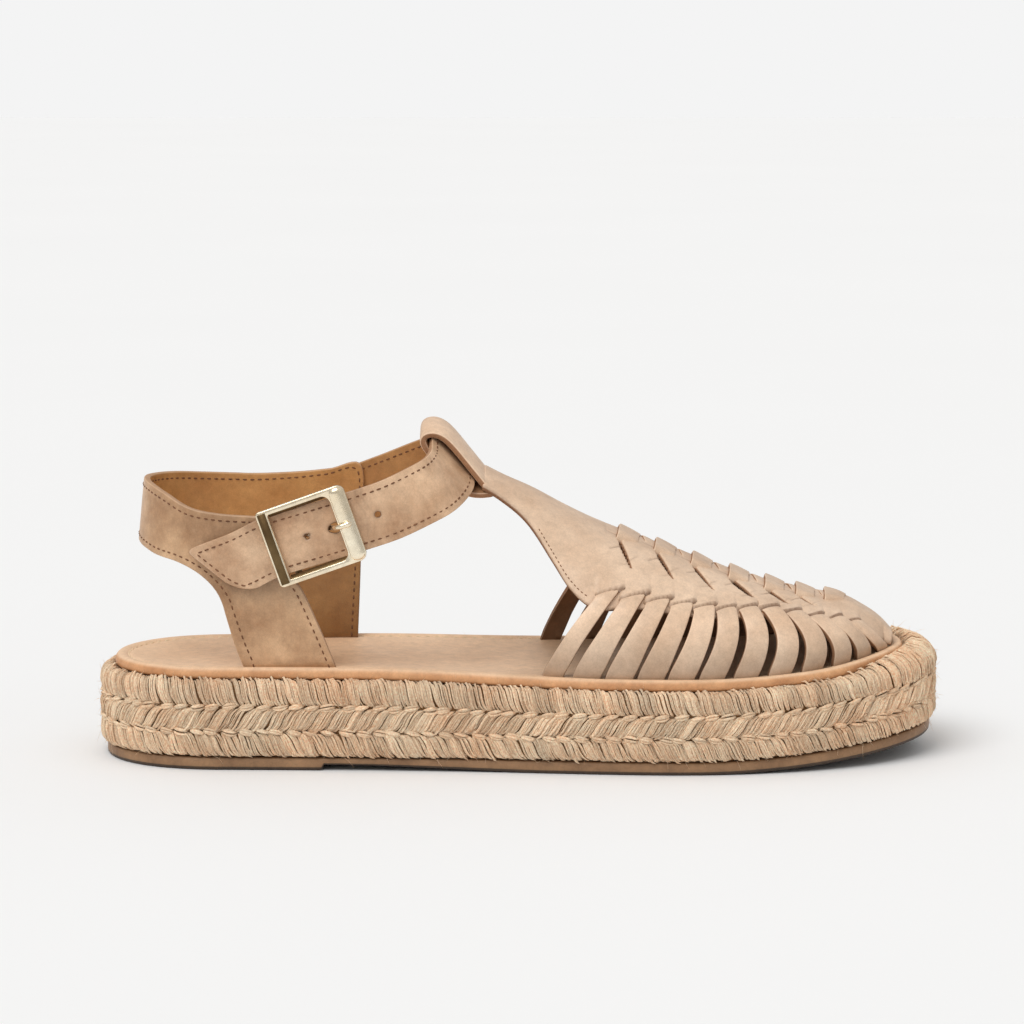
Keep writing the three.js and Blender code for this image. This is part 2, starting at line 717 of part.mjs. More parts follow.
// The quarter's outer end rolls around the buckle's middle bar, with a slot for the prong
function quarterSolid() {
  const outer = quarterGrid(outerQuarterRows, -1).reverse();
  const centre = quarterGrid([heelCentreRow], 1);
  const inner = quarterGrid(innerQuarterRows, 1);
  const wall = leatherWall([...outer, ...centre, ...inner], -quarterThickness / 2, quarterThickness / 2);
  const roll = placed(barAcross(chapeRadius, chapeWidth, 12));
  const bore = placed(barAcross(barRadius + clearance, chapeWidth + quarterThickness, 12));
  const half = prongWidth / 2 + clearance;
  const reach = chapeRadius * 1.3;
  const slot = placed(box([pivotU - reach, pivotU + reach], [-half, half], [pivotW - reach, pivotW + reach]));
  return wall.add(roll).subtract(bore).subtract(slot).subtract(footbedSpace());
}

// Ankle strap: from its free end on the quarter, through the buckle, over the instep inside the loop and
// down to the inner quarter. `lean` is how far its width direction leans back.
const tailRows = [
  { turn: 0.793, height: 0.536, out: 0, lean: 19.4 },
  { turn: 0.96, height: 0.607, out: 0.4, lean: 19.4 },
];
const outerRunRows = [
  { along: -0.32, inward: 0, rise: -0.24, lean: 19.4 },
  { along: 0, inward: 0, rise: 0, lean: 19.4 },
  { along: 0.334, inward: 0, rise: 0.245, lean: 19.6 },
  { along: 0.563, inward: 0.068, rise: 0.42, lean: 20.5 },
  { along: 0.773, inward: 0.226, rise: 0.632, lean: 22.5 },
  { along: 0.9, inward: 0.445, rise: 0.768, lean: 27 },
  { along: 0.969, inward: 0.723, rise: 0.885, lean: 35 },
];
const innerRunRows = [
  { along: 0.07, inward: 0.36, rise: 0.12, lean: 37 },
  { along: 0.243, inward: 0.65, rise: 0.28, lean: 31 },
  { along: 0.486, inward: 0.87, rise: 0.52, lean: 26 },
  { along: 0.743, inward: 0.97, rise: 0.76, lean: 24 },
  { along: 1.0, inward: 1, rise: 1, lean: 23 },
  { along: 1.18, inward: 1, rise: 1.13, lean: 23 },
];
const inLoop = { along: 0.58, up: 0.02 };
const inLoopSpans = [-1.12, -0.56, 0, 0.56, 1.12];
const innerEndTurn = 1.728;
const innerEndHeight = 0.788;

// Lower and upper edge of the strap where it lies inside the loop
function strapInLoop(span) {
  const y = ridgeLean + loopHalfWidth * span;
  const half = strapWidth / 2 / loopLength;
  return [-half, half].map((offset) => loopPoint({ along: inLoop.along + offset, up: inLoop.up }, y));
}

function strapEdges(route, skews) {
  return route.map(({ point, lean }, i) => {
    const ahead = route[Math.min(i + 1, route.length - 1)].point;
    const behind = route[Math.max(i - 1, 0)].point;
    const tangent = new THREE.Vector3().subVectors(ahead, behind).normalize();
    const angle = THREE.MathUtils.degToRad(lean);
    const up = new THREE.Vector3(-Math.sin(angle), 0, Math.cos(angle));
    up.addScaledVector(tangent, -up.dot(tangent)).normalize();
    const skew = skews && i === 0 ? strapTipSlant / 2 : 0;
    return [-1, 1].map((end) => (
      point.clone().addScaledVector(up, end * strapWidth / 2).addScaledVector(tangent, -end * skew)
    ));
  });
}

function strapGrid() {
  const buckle = buckleCentre();
  const [outerLoop, innerLoop] = [inLoopSpans[0], inLoopSpans[inLoopSpans.length - 1]].map((span) => (
    new THREE.Vector3().addVectors(...strapInLoop(span)).multiplyScalar(0.5)
  ));
  const sewn = quarterPoint(innerEndTurn, innerEndHeight, 1);
  sewn.y -= (quarterThickness + strapThickness) / 2 + 1.5 * clearance;
  const between = (from, to) => ({ along, inward, rise, lean }) => ({
    lean,
    point: new THREE.Vector3(
      from.x + (to.x - from.x) * along,
      from.y + (to.y - from.y) * inward,
      from.z + (to.z - from.z) * rise,
    ),
  });
  const tail = tailRows.map(({ turn, height, out, lean }) => {
    const point = quarterPoint(turn, height, -1);
    const onQuarter = point.y - (quarterThickness + strapThickness) / 2 - 2.5 * clearance;
    point.y = onQuarter + (buckle.y - onQuarter) * out;
    return { point, lean };
  });
  return [
    ...strapEdges([...tail, ...outerRunRows.map(between(buckle, outerLoop))], true),
    ...inLoopSpans.map(strapInLoop),
    ...strapEdges(innerRunRows.map(between(innerLoop, sewn)), false),
  ];
}

// Holes along the strap: place as a share of the buckle's length from its middle, and how far each is
// stretched. The prong draws the second one open.
const holeRows = [
  { u: -0.06, length: 1, width: 1 },
  { u: 0.233, length: 3.35, width: 1.62 },
  { u: 0.786, length: 1, width: 1 },
];

function strapSolid() {
  const wall = leatherWall(strapGrid(), -strapThickness / 2, strapThickness / 2);
  const holes = holeRows.map(({ u, length, width }) => placed(
    new THREE.CylinderGeometry(holeRadius, holeRadius, 4 * strapThickness, 10)
      .rotateX(Math.PI / 2)
      .scale(length, width, 1)
      .translate(u * buckleLength, 0, 0),
  ));
  return wall.subtract(joined(holes));
}

// Buckle: rounded frame with a raised keeper plate behind, a cushioned bar in front, and a bar across between
// two lugs that the quarter rolls around
function roundedFrame() {
  const corner = (path, half, front, back, radius) => {
    path.moveTo(back, -half);
    path.lineTo(front - radius, -half);
    path.absarc(front - radius, -half + radius, radius, -Math.PI / 2, 0);
    path.lineTo(front, half - radius);
    path.absarc(front - radius, half - radius, radius, 0, Math.PI / 2);
    path.lineTo(back, half);
    path.lineTo(back, -half);
    return path;
  };
  const front = buckleLength / 2;
  const shape = corner(new THREE.Shape(), buckleBreadth / 2, front, -front, frameCorner);
  shape.holes.push(corner(
    new THREE.Path(),
    buckleBreadth / 2 - sideBar,
    front - frontBar,
    -front + keeperBar,
    frameCorner,
  ));
  return shape;
}

const frameLow = strapThickness / 2 + clearance;
const cushionWidth = 0.84 * frontBar;

function buckleSolid() {
  const frame = new THREE.ExtrudeGeometry(roundedFrame(), {
    depth: frameThickness - 2 * frameEdge,
    bevelThickness: frameEdge,
    bevelSize: frameEdge,
    bevelOffset: -frameEdge,
    bevelSegments: 1,
    curveSegments: 4,
  }).translate(0, 0, frameLow + frameEdge);
  const front = buckleLength / 2 - frontBar / 2;
  const cushion = new THREE.Shape();
  cushion.absellipse(front, frameLow + frameThickness / 2, cushionWidth / 2, frameThickness, 0, Math.PI);
  cushion.closePath();
  const half = buckleBreadth / 2;
  const inside = half - sideBar;
  const alongLug = [pivotU - lugLength / 2, pivotU + lugLength / 2];
  const lug = (v) => placed(box(alongLug, v, [pivotW - barRadius, frameLow + frameEdge * 2]));
  return joined([
    placed(frame),
    placed(acrossStrap(cushion, 2 * half - frameCorner)),
    placed(barAcross(barRadius, 2 * inside + sideBar, 10)),
    lug([inside, half - frameEdge]),
    lug([-half + frameEdge, -inside]),
  ]);
}

// Prong: an eye around the middle bar, then under the strap, up through its hole and onto the front bar. Its
// middle line, in shares of the way to its tip on the bar and of the height from the middle bar to there.
const prongRows = [
  { u: 0.079, w: 0.042 },
  { u: 0.443, w: 0.121 },
  { u: 0.601, w: 0.212 },
  { u: 0.69, w: 0.436 },
  { u: 0.739, w: 0.776 },
  { u: 0.803, w: 0.97 },
  { u: 0.887, w: 1.018 },
  { u: 1, w: 1.006 },
];
const prongReach = pivotSetback + buckleLength / 2 - frontBar / 6 - prongThickness / 12;
const prongRise = frameLow + frameThickness * 1.5 + clearance + prongThickness / 2 - pivotW;

function prongSolid() {
  const ridge = prongRows.map(({ u, w }) => (
    new THREE.Vector2(pivotU + u * prongReach, pivotW + w * prongRise)
  ));
  const side = (sign) => ridge.map((point, i) => {
    const ahead = ridge[Math.min(i + 1, ridge.length - 1)];
    const behind = ridge[Math.max(i - 1, 0)];
    const along = new THREE.Vector2().subVectors(ahead, behind).normalize();
    const half = sign * prongThickness / 2;
    return new THREE.Vector2(point.x - along.y * half, point.y + along.x * half);
  });
  const bar = placed(acrossStrap(new THREE.Shape([...side(-1), ...side(1).reverse()]), prongWidth));
  const eye = placed(barAcross(barRadius + clearance + prongThickness * 0.7, prongWidth, 14));
  const bore = placed(barAcross(barRadius + clearance, 2 * prongWidth, 14));
  return bar.add(eye).subtract(bore);
}

const leather = new THREE.MeshStandardMaterial({ color: 0xd2ab88, roughness: 0.55, metalness: 0 });
const jute = new THREE.MeshStandardMaterial({ color: 0xc9a578, roughness: 0.95, metalness: 0 });
const brass = new THREE.MeshStandardMaterial({ color: 0xd9bd86, roughness: 0.3, metalness: 1 });
const rubber = new THREE.MeshStandardMaterial({ color: 0xb08a5e, roughness: 0.8, metalness: 0 });

function part(name, geometry, material) {
  const mesh = new THREE.Mesh(geometry, material);
  mesh.name = name;
  return mesh;
}

const sandal = new THREE.Group();
sandal.add(
  part('outsole', outsoleGeometry(), rubber),
  part('jute_midsole', midsoleGeometry(), jute),
  part('insole', insoleGeometry(), leather),
  part('upper_vamp', geometryOf(upperSolid()), leather),
  part('heel_quarter', geometryOf(quarterSolid()), leather),
  part('ankle_strap', geometryOf(strapSolid()), leather),
  part('buckle_frame', geometryOf(buckleSolid()), brass),
  part('buckle_prong', geometryOf(prongSolid()), brass),
);

export default sandal;
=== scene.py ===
# Espadrille sandal for the right foot: woven leather vamp with a T-bar, heel quarter, buckled ankle strap and
# braided jute platform. Tables are in millimetres or shares, meshes in metres.
import math

import bpy
import numpy as np
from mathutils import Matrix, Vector


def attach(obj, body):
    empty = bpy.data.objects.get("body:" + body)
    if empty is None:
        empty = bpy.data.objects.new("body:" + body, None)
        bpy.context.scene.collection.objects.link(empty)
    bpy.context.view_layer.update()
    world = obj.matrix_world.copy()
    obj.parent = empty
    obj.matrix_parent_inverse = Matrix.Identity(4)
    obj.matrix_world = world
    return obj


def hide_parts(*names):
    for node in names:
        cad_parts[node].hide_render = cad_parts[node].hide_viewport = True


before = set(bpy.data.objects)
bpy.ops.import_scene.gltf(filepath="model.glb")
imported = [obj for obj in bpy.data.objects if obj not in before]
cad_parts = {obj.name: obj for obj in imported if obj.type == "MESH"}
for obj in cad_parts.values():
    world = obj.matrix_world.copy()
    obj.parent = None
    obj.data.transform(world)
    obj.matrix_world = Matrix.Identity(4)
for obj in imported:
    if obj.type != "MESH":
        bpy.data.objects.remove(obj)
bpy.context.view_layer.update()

mm = 0.001
rng = np.random.default_rng(7)


# Curves, sheets and small repeats

def smoothStep(low, high, value):
    t = np.clip((np.asarray(value, float) - low) / (high - low), 0, 1)
    return t * t * (3 - 2 * t)


def bell(value, width):
    return np.exp(-(value / width) ** 2)


def curveThrough(places, values):  # smooth curve through the rows of a table
    at, values = np.asarray(places, float), np.asarray(values, float)
    rise = np.diff(values, axis=0) / np.diff(at).reshape(-1, *[1] * (values.ndim - 1))
    slope = np.concatenate([rise[:1], (rise[1:] + rise[:-1]) / 2, rise[-1:]])

    def curve(place):
        x = np.clip(np.asarray(place, float), at[0], at[-1])
        i = np.clip(np.searchsorted(at, x, side="right") - 1, 0, len(at) - 2)
        span = at[i + 1] - at[i]
        t = (x - at[i]) / span
        shape = t.shape + (1,) * (values.ndim - 1)
        t, span = t.reshape(shape), span.reshape(shape)
        a, b = 2 * t ** 3 - 3 * t ** 2 + 1, t ** 3 - 2 * t ** 2 + t
        c, d = 3 * t ** 2 - 2 * t ** 3, t ** 3 - t ** 2
        return a * values[i] + b * span * slope[i] + c * values[i + 1] + d * span * slope[i + 1]

    return curve


def tableCurves(rows):  # a curve for each column after the first, which holds the places
    places, *columns = zip(*rows)
    return [curveThrough(places, column) for column in columns]


def unit(vectors):
    return vectors / np.maximum(np.linalg.norm(vectors, axis=-1, keepdims=True), 1e-9)


def distances(points, axis=0):  # from the start of each line of points to each of its points
    run = np.cumsum(np.linalg.norm(np.diff(points, axis=axis), axis=-1), axis=axis)
    return np.pad(run, [(int(k == axis), 0) for k in range(run.ndim)])


def stacked(*columns):  # points from their x, y and z
    return np.stack(np.broadcast_arrays(*columns), axis=-1)


def numbered(*shape):
    return np.arange(math.prod(shape)).reshape(shape)


def quadsOf(ids):  # quads between the neighbours in a grid of point numbers
    return np.stack([ids[..., :-1, :-1], ids[..., 1:, :-1], ids[..., 1:, 1:], ids[..., :-1, 1:]], axis=-1)


def wrapped(ids):  # the grid with its first column again after the last
    return np.concatenate([ids, ids[..., :1]], axis=-1)


def joinMeshes(parts):  # parts are (points, faces, marks), all with the same marks
    starts = np.cumsum([0] + [len(points) for points, _, _ in parts])
    faces = [np.asarray(faces) + start for (_, faces, _), start in zip(parts, starts)]
    marks = {mark: np.concatenate([np.ravel(part[2][mark]) for part in parts]) for mark in parts[0][2]}
    return np.concatenate([points for points, _, _ in parts]), np.concatenate(faces), marks


def gridNormals(grid):
    return unit(np.cross(np.gradient(grid, axis=0), np.gradient(grid, axis=1)))


def lineSpots(length, count, edge):  # shares from 0 to 1, closer together at both edges
    ramp = np.array([0, 0.12, 0.35, 0.65, 1.0]) * min(edge, length / 3)
    inner = np.linspace(ramp[-1], length - ramp[-1], count)[1:-1]
    return np.concatenate([ramp, inner, length - ramp[::-1]]) / length


def leatherSheet(middle, thickness, edge, keep=None, gapTo=np.inf, crown=0.0, extra=None, relief=0.0):
    # A closed wall around a grid of middle points, rounded at every edge and cut, with marks for the materials:
    # rawEdge at the cut edges, inside on the flesh side
    rows, columns = middle.shape[:2]
    normals = gridNormals(middle)
    fromLow, fromStart = distances(middle, 1), distances(middle, 0)
    toEdge = np.minimum.reduce([fromLow, fromLow[:, -1:] - fromLow, fromStart, fromStart[-1:] - fromStart])
    toEdge = np.minimum(toEdge, gapTo)
    into = np.clip(edge - toEdge, 0, edge)
    half = thickness / 2 - edge + np.sqrt(np.maximum(edge ** 2 - into ** 2, 0))
    swell = crown * (1 - (2 * fromLow / (fromLow[:, -1:] + 1e-6) - 1) ** 2)
    outer = middle + normals * (half + swell + relief)[..., None]
    inner = middle - normals * (half - swell)[..., None]
    back = rows * columns
    quads = quadsOf(numbered(rows, columns))
    quads = quads.reshape(-1, 4) if keep is None else quads[keep]
    edges = np.concatenate([quads[:, [k, (k + 1) % 4]] for k in range(4)])
    rim = edges[~np.isin(edges[:, 0] * back + edges[:, 1], edges[:, 1] * back + edges[:, 0])]
    walls = np.stack([rim[:, 1], rim[:, 0], rim[:, 0] + back, rim[:, 1] + back], axis=-1)
    faces = np.concatenate([quads, quads[:, ::-1] + back, walls])
    raw = np.clip(1 - toEdge / edge, 0, 1).ravel() ** 2
    raw[rim.ravel()] = 1
    marks = {"rawEdge": np.concatenate([raw, raw]), "inside": np.repeat([0.0, 1.0], back)}
    for mark, values in (extra or {}).items():
        marks[mark] = np.broadcast_to(values, (2, rows, columns)).ravel()
    points = np.concatenate([outer.reshape(-1, 3), inner.reshape(-1, 3)])
    used = np.zeros(len(points), bool)
    used[faces.ravel()] = True
    fresh = np.cumsum(used) - 1
    return points[used], fresh[faces], {mark: values[used] for mark, values in marks.items()}


endShare = 0.03  # of the radius, left at a bar's ends


def tubes(paths, radius, sides=6, flat=1.0, up=(0, 0, 1.0), shade=None, closed=False):
    # Round bars along many paths at once (path, spot, xyz); flat squeezes them towards `up`, and closed ones
    # meet their own start
    paths = np.asarray(paths, float)
    count, spots = paths.shape[:2]
    ahead = np.roll(paths, -1, axis=1) - np.roll(paths, 1, axis=1) if closed else np.gradient(paths, axis=1)
    tangent = unit(ahead)
    sideways = unit(np.cross(tangent, np.broadcast_to(up, paths.shape)))
    upward = np.cross(sideways, tangent)
    radius = np.broadcast_to(radius, (count, spots)).copy()
    ids = numbered(count, spots, sides)
    if closed:
        ids = np.concatenate([ids, ids[:, :1]], axis=1)
    else:
        radius[:, [0, -1]] *= endShare
    angle = np.linspace(0, 2 * np.pi, sides, endpoint=False)[:, None]
    ring = np.cos(angle) * sideways[:, :, None] + flat * np.sin(angle) * upward[:, :, None]
    points = paths[:, :, None] + ring * radius[:, :, None, None]
    faces = quadsOf(wrapped(ids))[..., [0, 3, 2, 1]].reshape(-1, 4)
    marks = {
        "along": np.repeat(distances(paths, 1)[:, :, None], sides, axis=2).ravel(),
        "around": np.tile(np.arange(sides) / sides, count * spots),
        "shade": np.repeat(np.zeros(count) if shade is None else shade, spots * sides),
    }
    return points.reshape(-1, 3), faces, marks


def plainTubes(*values, **settings):  # the same without marks, for metal and the roll
    points, faces, _ = tubes(*values, **settings)
    return points, faces, {}


def stitchRun(line, normals, settings, seed):
    # Thread stitches along a line on a surface; each is a short fat strand that dips at both ends
    run = distances(line)
    count = max(int(run[-1] / settings["pitch"]), 1)
    pitch = run[-1] / count
    draw = np.random.default_rng(seed)
    starts = (np.arange(count) + draw.uniform(-0.04, 0.04, count))[:, None] * pitch
    shares = np.linspace(0, 1, 6)
    spots = starts + pitch * settings["share"] * shares
    arch = np.sin(np.pi * shares)
    path, normal = (np.stack([np.interp(spots, run, values[:, k]) for k in range(3)], axis=-1)
                    for values in (line, normals))
    normal = unit(normal)
    path += normal * (settings["sink"] * (arch - 1) + settings["lift"] * arch)[:, None]
    return tubes(path, settings["radius"] * (0.6 + 0.4 * arch ** 0.5), up=normal, shade=draw.uniform(0, 1, count))


# Materials

def addNode(tree, kind, inputs=None, **settings):  # an input is a fixed value or the output of a node
    node = tree.nodes.new("ShaderNode" + kind)
    for key, value in settings.items():
        setattr(node, key, value)
    for key, value in (inputs or {}).items():
        if isinstance(value, bpy.types.NodeSocket):
            tree.links.new(value, node.inputs[key])
        else:
            node.inputs[key].default_value = value
    return node


def mixColour(tree, factor, first, second, blend="MIX"):
    return addNode(tree, "Mix", {0: factor, 6: first, 7: second}, data_type="RGBA", blend_type=blend).outputs[2]


def mathNode(tree, operation, *values, clamp=False):
    return addNode(tree, "Math", dict(enumerate(values)), operation=operation, use_clamp=clamp).outputs[0]


def mapRange(tree, value, low, high, toLow=0.0, toHigh=1.0, **settings):
    ranges = {"From Min": low, "From Max": high, "To Min": toLow, "To Max": toHigh}
    return addNode(tree, "MapRange", {"Value": value, **ranges}, **settings).outputs[0]


def noiseValue(tree, place, scale, detail, roughness=0.5):
    values = {"Vector": place, "Scale": scale, "Detail": detail, "Roughness": roughness}
    return addNode(tree, "TexNoise", values).outputs["Fac"]


def objectPlace(tree):
    return addNode(tree, "TexCoord").outputs["Object"]


def markValue(tree, mark):
    return addNode(tree, "Attribute", attribute_name=mark).outputs["Fac"]


def darkened(tree, colour):  # by the mesh's own mark
    light = mathNode(tree, "SUBTRACT", 1.0, markValue(tree, "darken"))
    return mixColour(tree, 1.0, colour, light, "MULTIPLY")


def rgb(red, green, blue):  # screen colour 0-255 to linear
    return tuple(((c / 255 + 0.055) / 1.055) ** 2.4 if c > 10 else c / 3294 for c in (red, green, blue)) + (1.0,)


def newGroup(name, inputs, outputs):
    tree = bpy.data.node_groups.new(name, "ShaderNodeTree")
    for title, value in inputs.items():
        kind = "NodeSocketFloat" if isinstance(value, float) else "NodeSocketColor"
        tree.interface.new_socket(title, in_out="INPUT", socket_type=kind).default_value = value
    for title, kind in outputs.items():
        tree.interface.new_socket(title, in_out="OUTPUT", socket_type=kind)
    return tree, tree.nodes.new("NodeGroupInput").outputs, tree.nodes.new("NodeGroupOutput").inputs


white, black = (1, 1, 1, 1), (0, 0, 0, 1)


def buildHideGroup():  # pebbled grain, pores and slow clouding of a vegetable-tanned hide
    tree, entry, leave = newGroup(
        "hideSurface",
        {"Grain Size": 900.0, "Cloud Size": 40.0, "Light": white, "Dark": black, "Cloud Contrast": 1.0},
        {"Colour": "NodeSocketColor", "Height": "NodeSocketFloat", "Clouds": "NodeSocketFloat"})
    place = objectPlace(tree)
    clouds = mapRange(tree, noiseValue(tree, place, entry["Cloud Size"], 6.0, 0.62), 0.32, 0.68)
    strength = mathNode(tree, "MULTIPLY", clouds, entry["Cloud Contrast"], clamp=True)
    cells = addNode(tree, "TexVoronoi", {"Randomness": 1.0, "Vector": place, "Scale": entry["Grain Size"]},
                    feature="DISTANCE_TO_EDGE").outputs["Distance"]
    fine = mathNode(tree, "MULTIPLY", noiseValue(tree, place, 2400.0, 3.0), 0.5)
    grain = mathNode(tree, "MULTIPLY_ADD", mapRange(tree, cells, 0.0, 0.18), 0.6, fine)
    mottle = mapRange(tree, noiseValue(tree, place, 330.0, 5.0, 0.7), 0.3, 0.7, 0.86, 1.09)
    tone = mathNode(tree, "MULTIPLY", mottle, mapRange(tree, cells, 0.0, 0.1, 0.9))
    base = mixColour(tree, strength, entry["Light"], entry["Dark"])
    tree.links.new(mixColour(tree, 1.0, base, tone, "MULTIPLY"), leave["Colour"])
    tree.links.new(grain, leave["Height"])
    tree.links.new(strength, leave["Clouds"])
    return tree


def buildFibreGroup():  # twisted plant fibre: streaks along a strand, loose specks and colour drift
    tree, entry, leave = newGroup(
        "strandFibre", {"Streaks": 9.0, "Twist": 0.35, "Light": white, "Dark": black},
        {"Colour": "NodeSocketColor", "Height": "NodeSocketFloat"})
    along, place = markValue(tree, "along"), objectPlace(tree)
    turn = mathNode(tree, "MULTIPLY_ADD", along, entry["Twist"], markValue(tree, "around"))
    strand = addNode(tree, "CombineXYZ", {
        "X": mathNode(tree, "MULTIPLY", turn, entry["Streaks"]), "Y": mathNode(tree, "MULTIPLY", along, 0.5),
        "Z": markValue(tree, "shade")}).outputs[0]
    streaks = noiseValue(tree, strand, 1.6, 4.0, 0.7)
    specks = noiseValue(tree, place, 1500.0, 3.0, 0.8)
    drift = mathNode(tree, "MULTIPLY", noiseValue(tree, place, 90.0, 3.0), 0.5)
    tone = mathNode(tree, "ADD", mathNode(tree, "MULTIPLY", streaks, 0.8), mathNode(tree, "MULTIPLY", specks, 1.1))
    tone = mapRange(tree, mathNode(tree, "ADD", tone, drift), 0.9, 1.42)
    tree.links.new(mixColour(tree, tone, entry["Dark"], entry["Light"]), leave["Colour"])
    height = mathNode(tree, "ADD", streaks, mathNode(tree, "MULTIPLY", specks, 0.6))
    tree.links.new(height, leave["Height"])
    return tree


hideGroup = buildHideGroup()
fibreGroup = buildFibreGroup()


def hide(tree, light, dark, grain, clouds, contrast):
    values = {"Grain Size": grain, "Cloud Size": clouds, "Light": rgb(*light), "Dark": rgb(*dark),
              "Cloud Contrast": contrast}
    return addNode(tree, "Group", values, node_tree=hideGroup).outputs


def newMaterial(name):
    material = bpy.data.materials.new(name)
    material.use_nodes = True
    material.node_tree.nodes.clear()
    return material, material.node_tree


def finishMaterial(tree, colour, roughness, fixed, height=None, bump=0.0, distance=0.0):
    shader = addNode(tree, "BsdfPrincipled", {"Base Color": colour, "Roughness": roughness, **fixed})
    if height is not None:
        relief = addNode(tree, "Bump", {"Strength": bump, "Distance": distance, "Height": height})
        tree.links.new(relief.outputs[0], shader.inputs["Normal"])
    tree.links.new(shader.outputs[0], addNode(tree, "OutputMaterial").inputs[0])


def leatherMaterial(name, look):
    material, tree = newMaterial(name)
    face = hide(tree, look["light"], look["dark"], look["grain"], look["clouds"], look["contrast"])
    flesh = hide(tree, look["flesh"], look["fleshDark"], 1600.0, 70.0, 0.9)
    colour = mixColour(tree, markValue(tree, "inside"), face["Colour"], flesh["Colour"])
    # the cut edge, and a painted highlight on the skin beside it
    cut = noiseValue(tree, objectPlace(tree), 1300.0, 4.0, 0.75)
    rawEdge = markValue(tree, "rawEdge")
    edgeMask = mapRange(tree, rawEdge, 0.55, 0.95)
    edgeColour = mixColour(tree, cut, rgb(*look["edgeDark"]), rgb(*look["edge"]))
    colour = mixColour(tree, edgeMask, colour, edgeColour)
    # painted highlight: a lighter colour on the skin just inside each cut edge
    edgeHighlight = mapRange(tree, rawEdge, 0.05, 0.4, 0.0, 0.35)
    edgeHighlight = mathNode(tree, "MULTIPLY", edgeHighlight, mathNode(tree, "SUBTRACT", 1.0, edgeMask))
    colour = mixColour(tree, edgeHighlight, colour, rgb(*look["edgeHighlight"]))
    colour = darkened(tree, colour)
    # the crease mark is painted shade in the panel's creases and at the lips over the slots; it also darkens the panel
    # along its edges
    crease = mathNode(tree, "MULTIPLY", markValue(tree, "crease"), 0.75)
    colour = mixColour(tree, crease, colour, rgb(*look["creaseColour"]))
    rough = mapRange(tree, face["Clouds"], 0.0, 1.0, look["gloss"], look["gloss"] + 0.12)
    rough = mathNode(tree, "ADD", rough, mathNode(tree, "MULTIPLY", edgeMask, 0.3), clamp=True)
    cutHeight = mathNode(tree, "MULTIPLY", mathNode(tree, "MULTIPLY", cut, edgeMask), 2.5)
    height = mathNode(tree, "ADD", face["Height"], cutHeight)
    finishMaterial(tree, colour, rough, {"Specular IOR Level": 0.4}, height, look["bump"], 0.00012)
    return material


# sharedLook and upperLeather give the colour of the painted highlight beside the cut edges
sharedLook = {"creaseColour": (104, 68, 44), "grain": 1000.0, "clouds": 50.0, "contrast": 1.0, "gloss": 0.36,
              "bump": 0.24, "edgeHighlight": (226, 192, 160)}
upperLeather = leatherMaterial("upperLeather", {
    **sharedLook, "light": (237, 208, 180), "dark": (204, 170, 140), "flesh": (168, 126, 92),
    "fleshDark": (128, 92, 64), "edge": (176, 132, 98), "edgeDark": (120, 82, 56), "grain": 1100.0,
    "clouds": 42.0, "contrast": 0.9, "gloss": 0.34, "bump": 0.2, "edgeHighlight": (238, 210, 182)})
strapLeather = leatherMaterial("strapLeather", {
    **sharedLook, "light": (229, 193, 158), "dark": (172, 130, 96), "flesh": (190, 140, 88),
    "fleshDark": (158, 108, 62), "edge": (196, 156, 122), "edgeDark": (140, 98, 68)})
linedLeather = leatherMaterial("linedLeather", {
    **sharedLook, "light": (216, 177, 138), "dark": (158, 117, 82), "flesh": (206, 154, 96),
    "fleshDark": (178, 124, 70), "edge": (208, 172, 138), "edgeDark": (152, 110, 78)})


def footbedMaterial():
    material, tree = newMaterial("footbedLeather")
    top = hide(tree, (248, 212, 176), (224, 184, 146), 1500.0, 26.0, 0.9)
    side = hide(tree, (226, 172, 124), (190, 134, 90), 800.0, 90.0, 1.0)
    colour = darkened(tree, mixColour(tree, markValue(tree, "rimSide"), top["Colour"], side["Colour"]))
    finishMaterial(tree, colour, 0.5, {"Specular IOR Level": 0.4}, top["Height"], 0.1, 0.0001)
    return material


def juteMaterial(name, light, dark, bump):
    material, tree = newMaterial(name)
    fibre = addNode(tree, "Group", {"Light": rgb(*light), "Dark": rgb(*dark)}, node_tree=fibreGroup).outputs
    shade = mapRange(tree, markValue(tree, "shade"), 0.0, 1.0, 0.8, 1.24)
    colour = mixColour(tree, 1.0, fibre["Colour"], shade, "MULTIPLY")
    finishMaterial(tree, colour, 0.9, {"Specular IOR Level": 0.2}, fibre["Height"], bump, 0.0004)
    return material


def plainMaterial(name, light, dark, roughness, scale, bump=0.1, **fixed):
    material, tree = newMaterial(name)
    cloud = hide(tree, light, dark, scale, 60.0, 0.8)
    finishMaterial(tree, cloud["Colour"], roughness, fixed, cloud["Height"], bump, 0.0001)
    return material


def rubberMaterial():
    material, tree = newMaterial("soleRubber")
    cloud = hide(tree, (176, 136, 98), (140, 104, 72), 500.0, 70.0, 1.0)
    finishMaterial(tree, darkened(tree, cloud["Colour"]), 0.5, {}, cloud["Height"], 0.16, 0.0002)
    return material


footbedLeather = footbedMaterial()
juteYarn = juteMaterial("juteYarn", (255, 236, 206), (222, 168, 124), 1.0)
juteShadow = juteMaterial("juteShadow", (150, 112, 74), (104, 74, 48), 0.6)
soleRubber = rubberMaterial()
brownThread = plainMaterial("brownThread", (128, 84, 52), (88, 54, 32), 0.7, 3000.0)
creamThread = plainMaterial("creamThread", (246, 224, 190), (216, 184, 144), 0.7, 3000.0)
paleBrass = plainMaterial("paleBrass", (255, 243, 218), (238, 218, 184), 0.24, 1800.0, 0.04, Metallic=1.0)
# dark brass for painted shade and a painted dark reflection on the buckle's keeper, inner walls and middle bar
brassPaintedShade = plainMaterial("brassPaintedShade", (126, 104, 72), (88, 68, 44), 0.42, 1500.0, 0.06, Metallic=1.0)
print("materials ready")


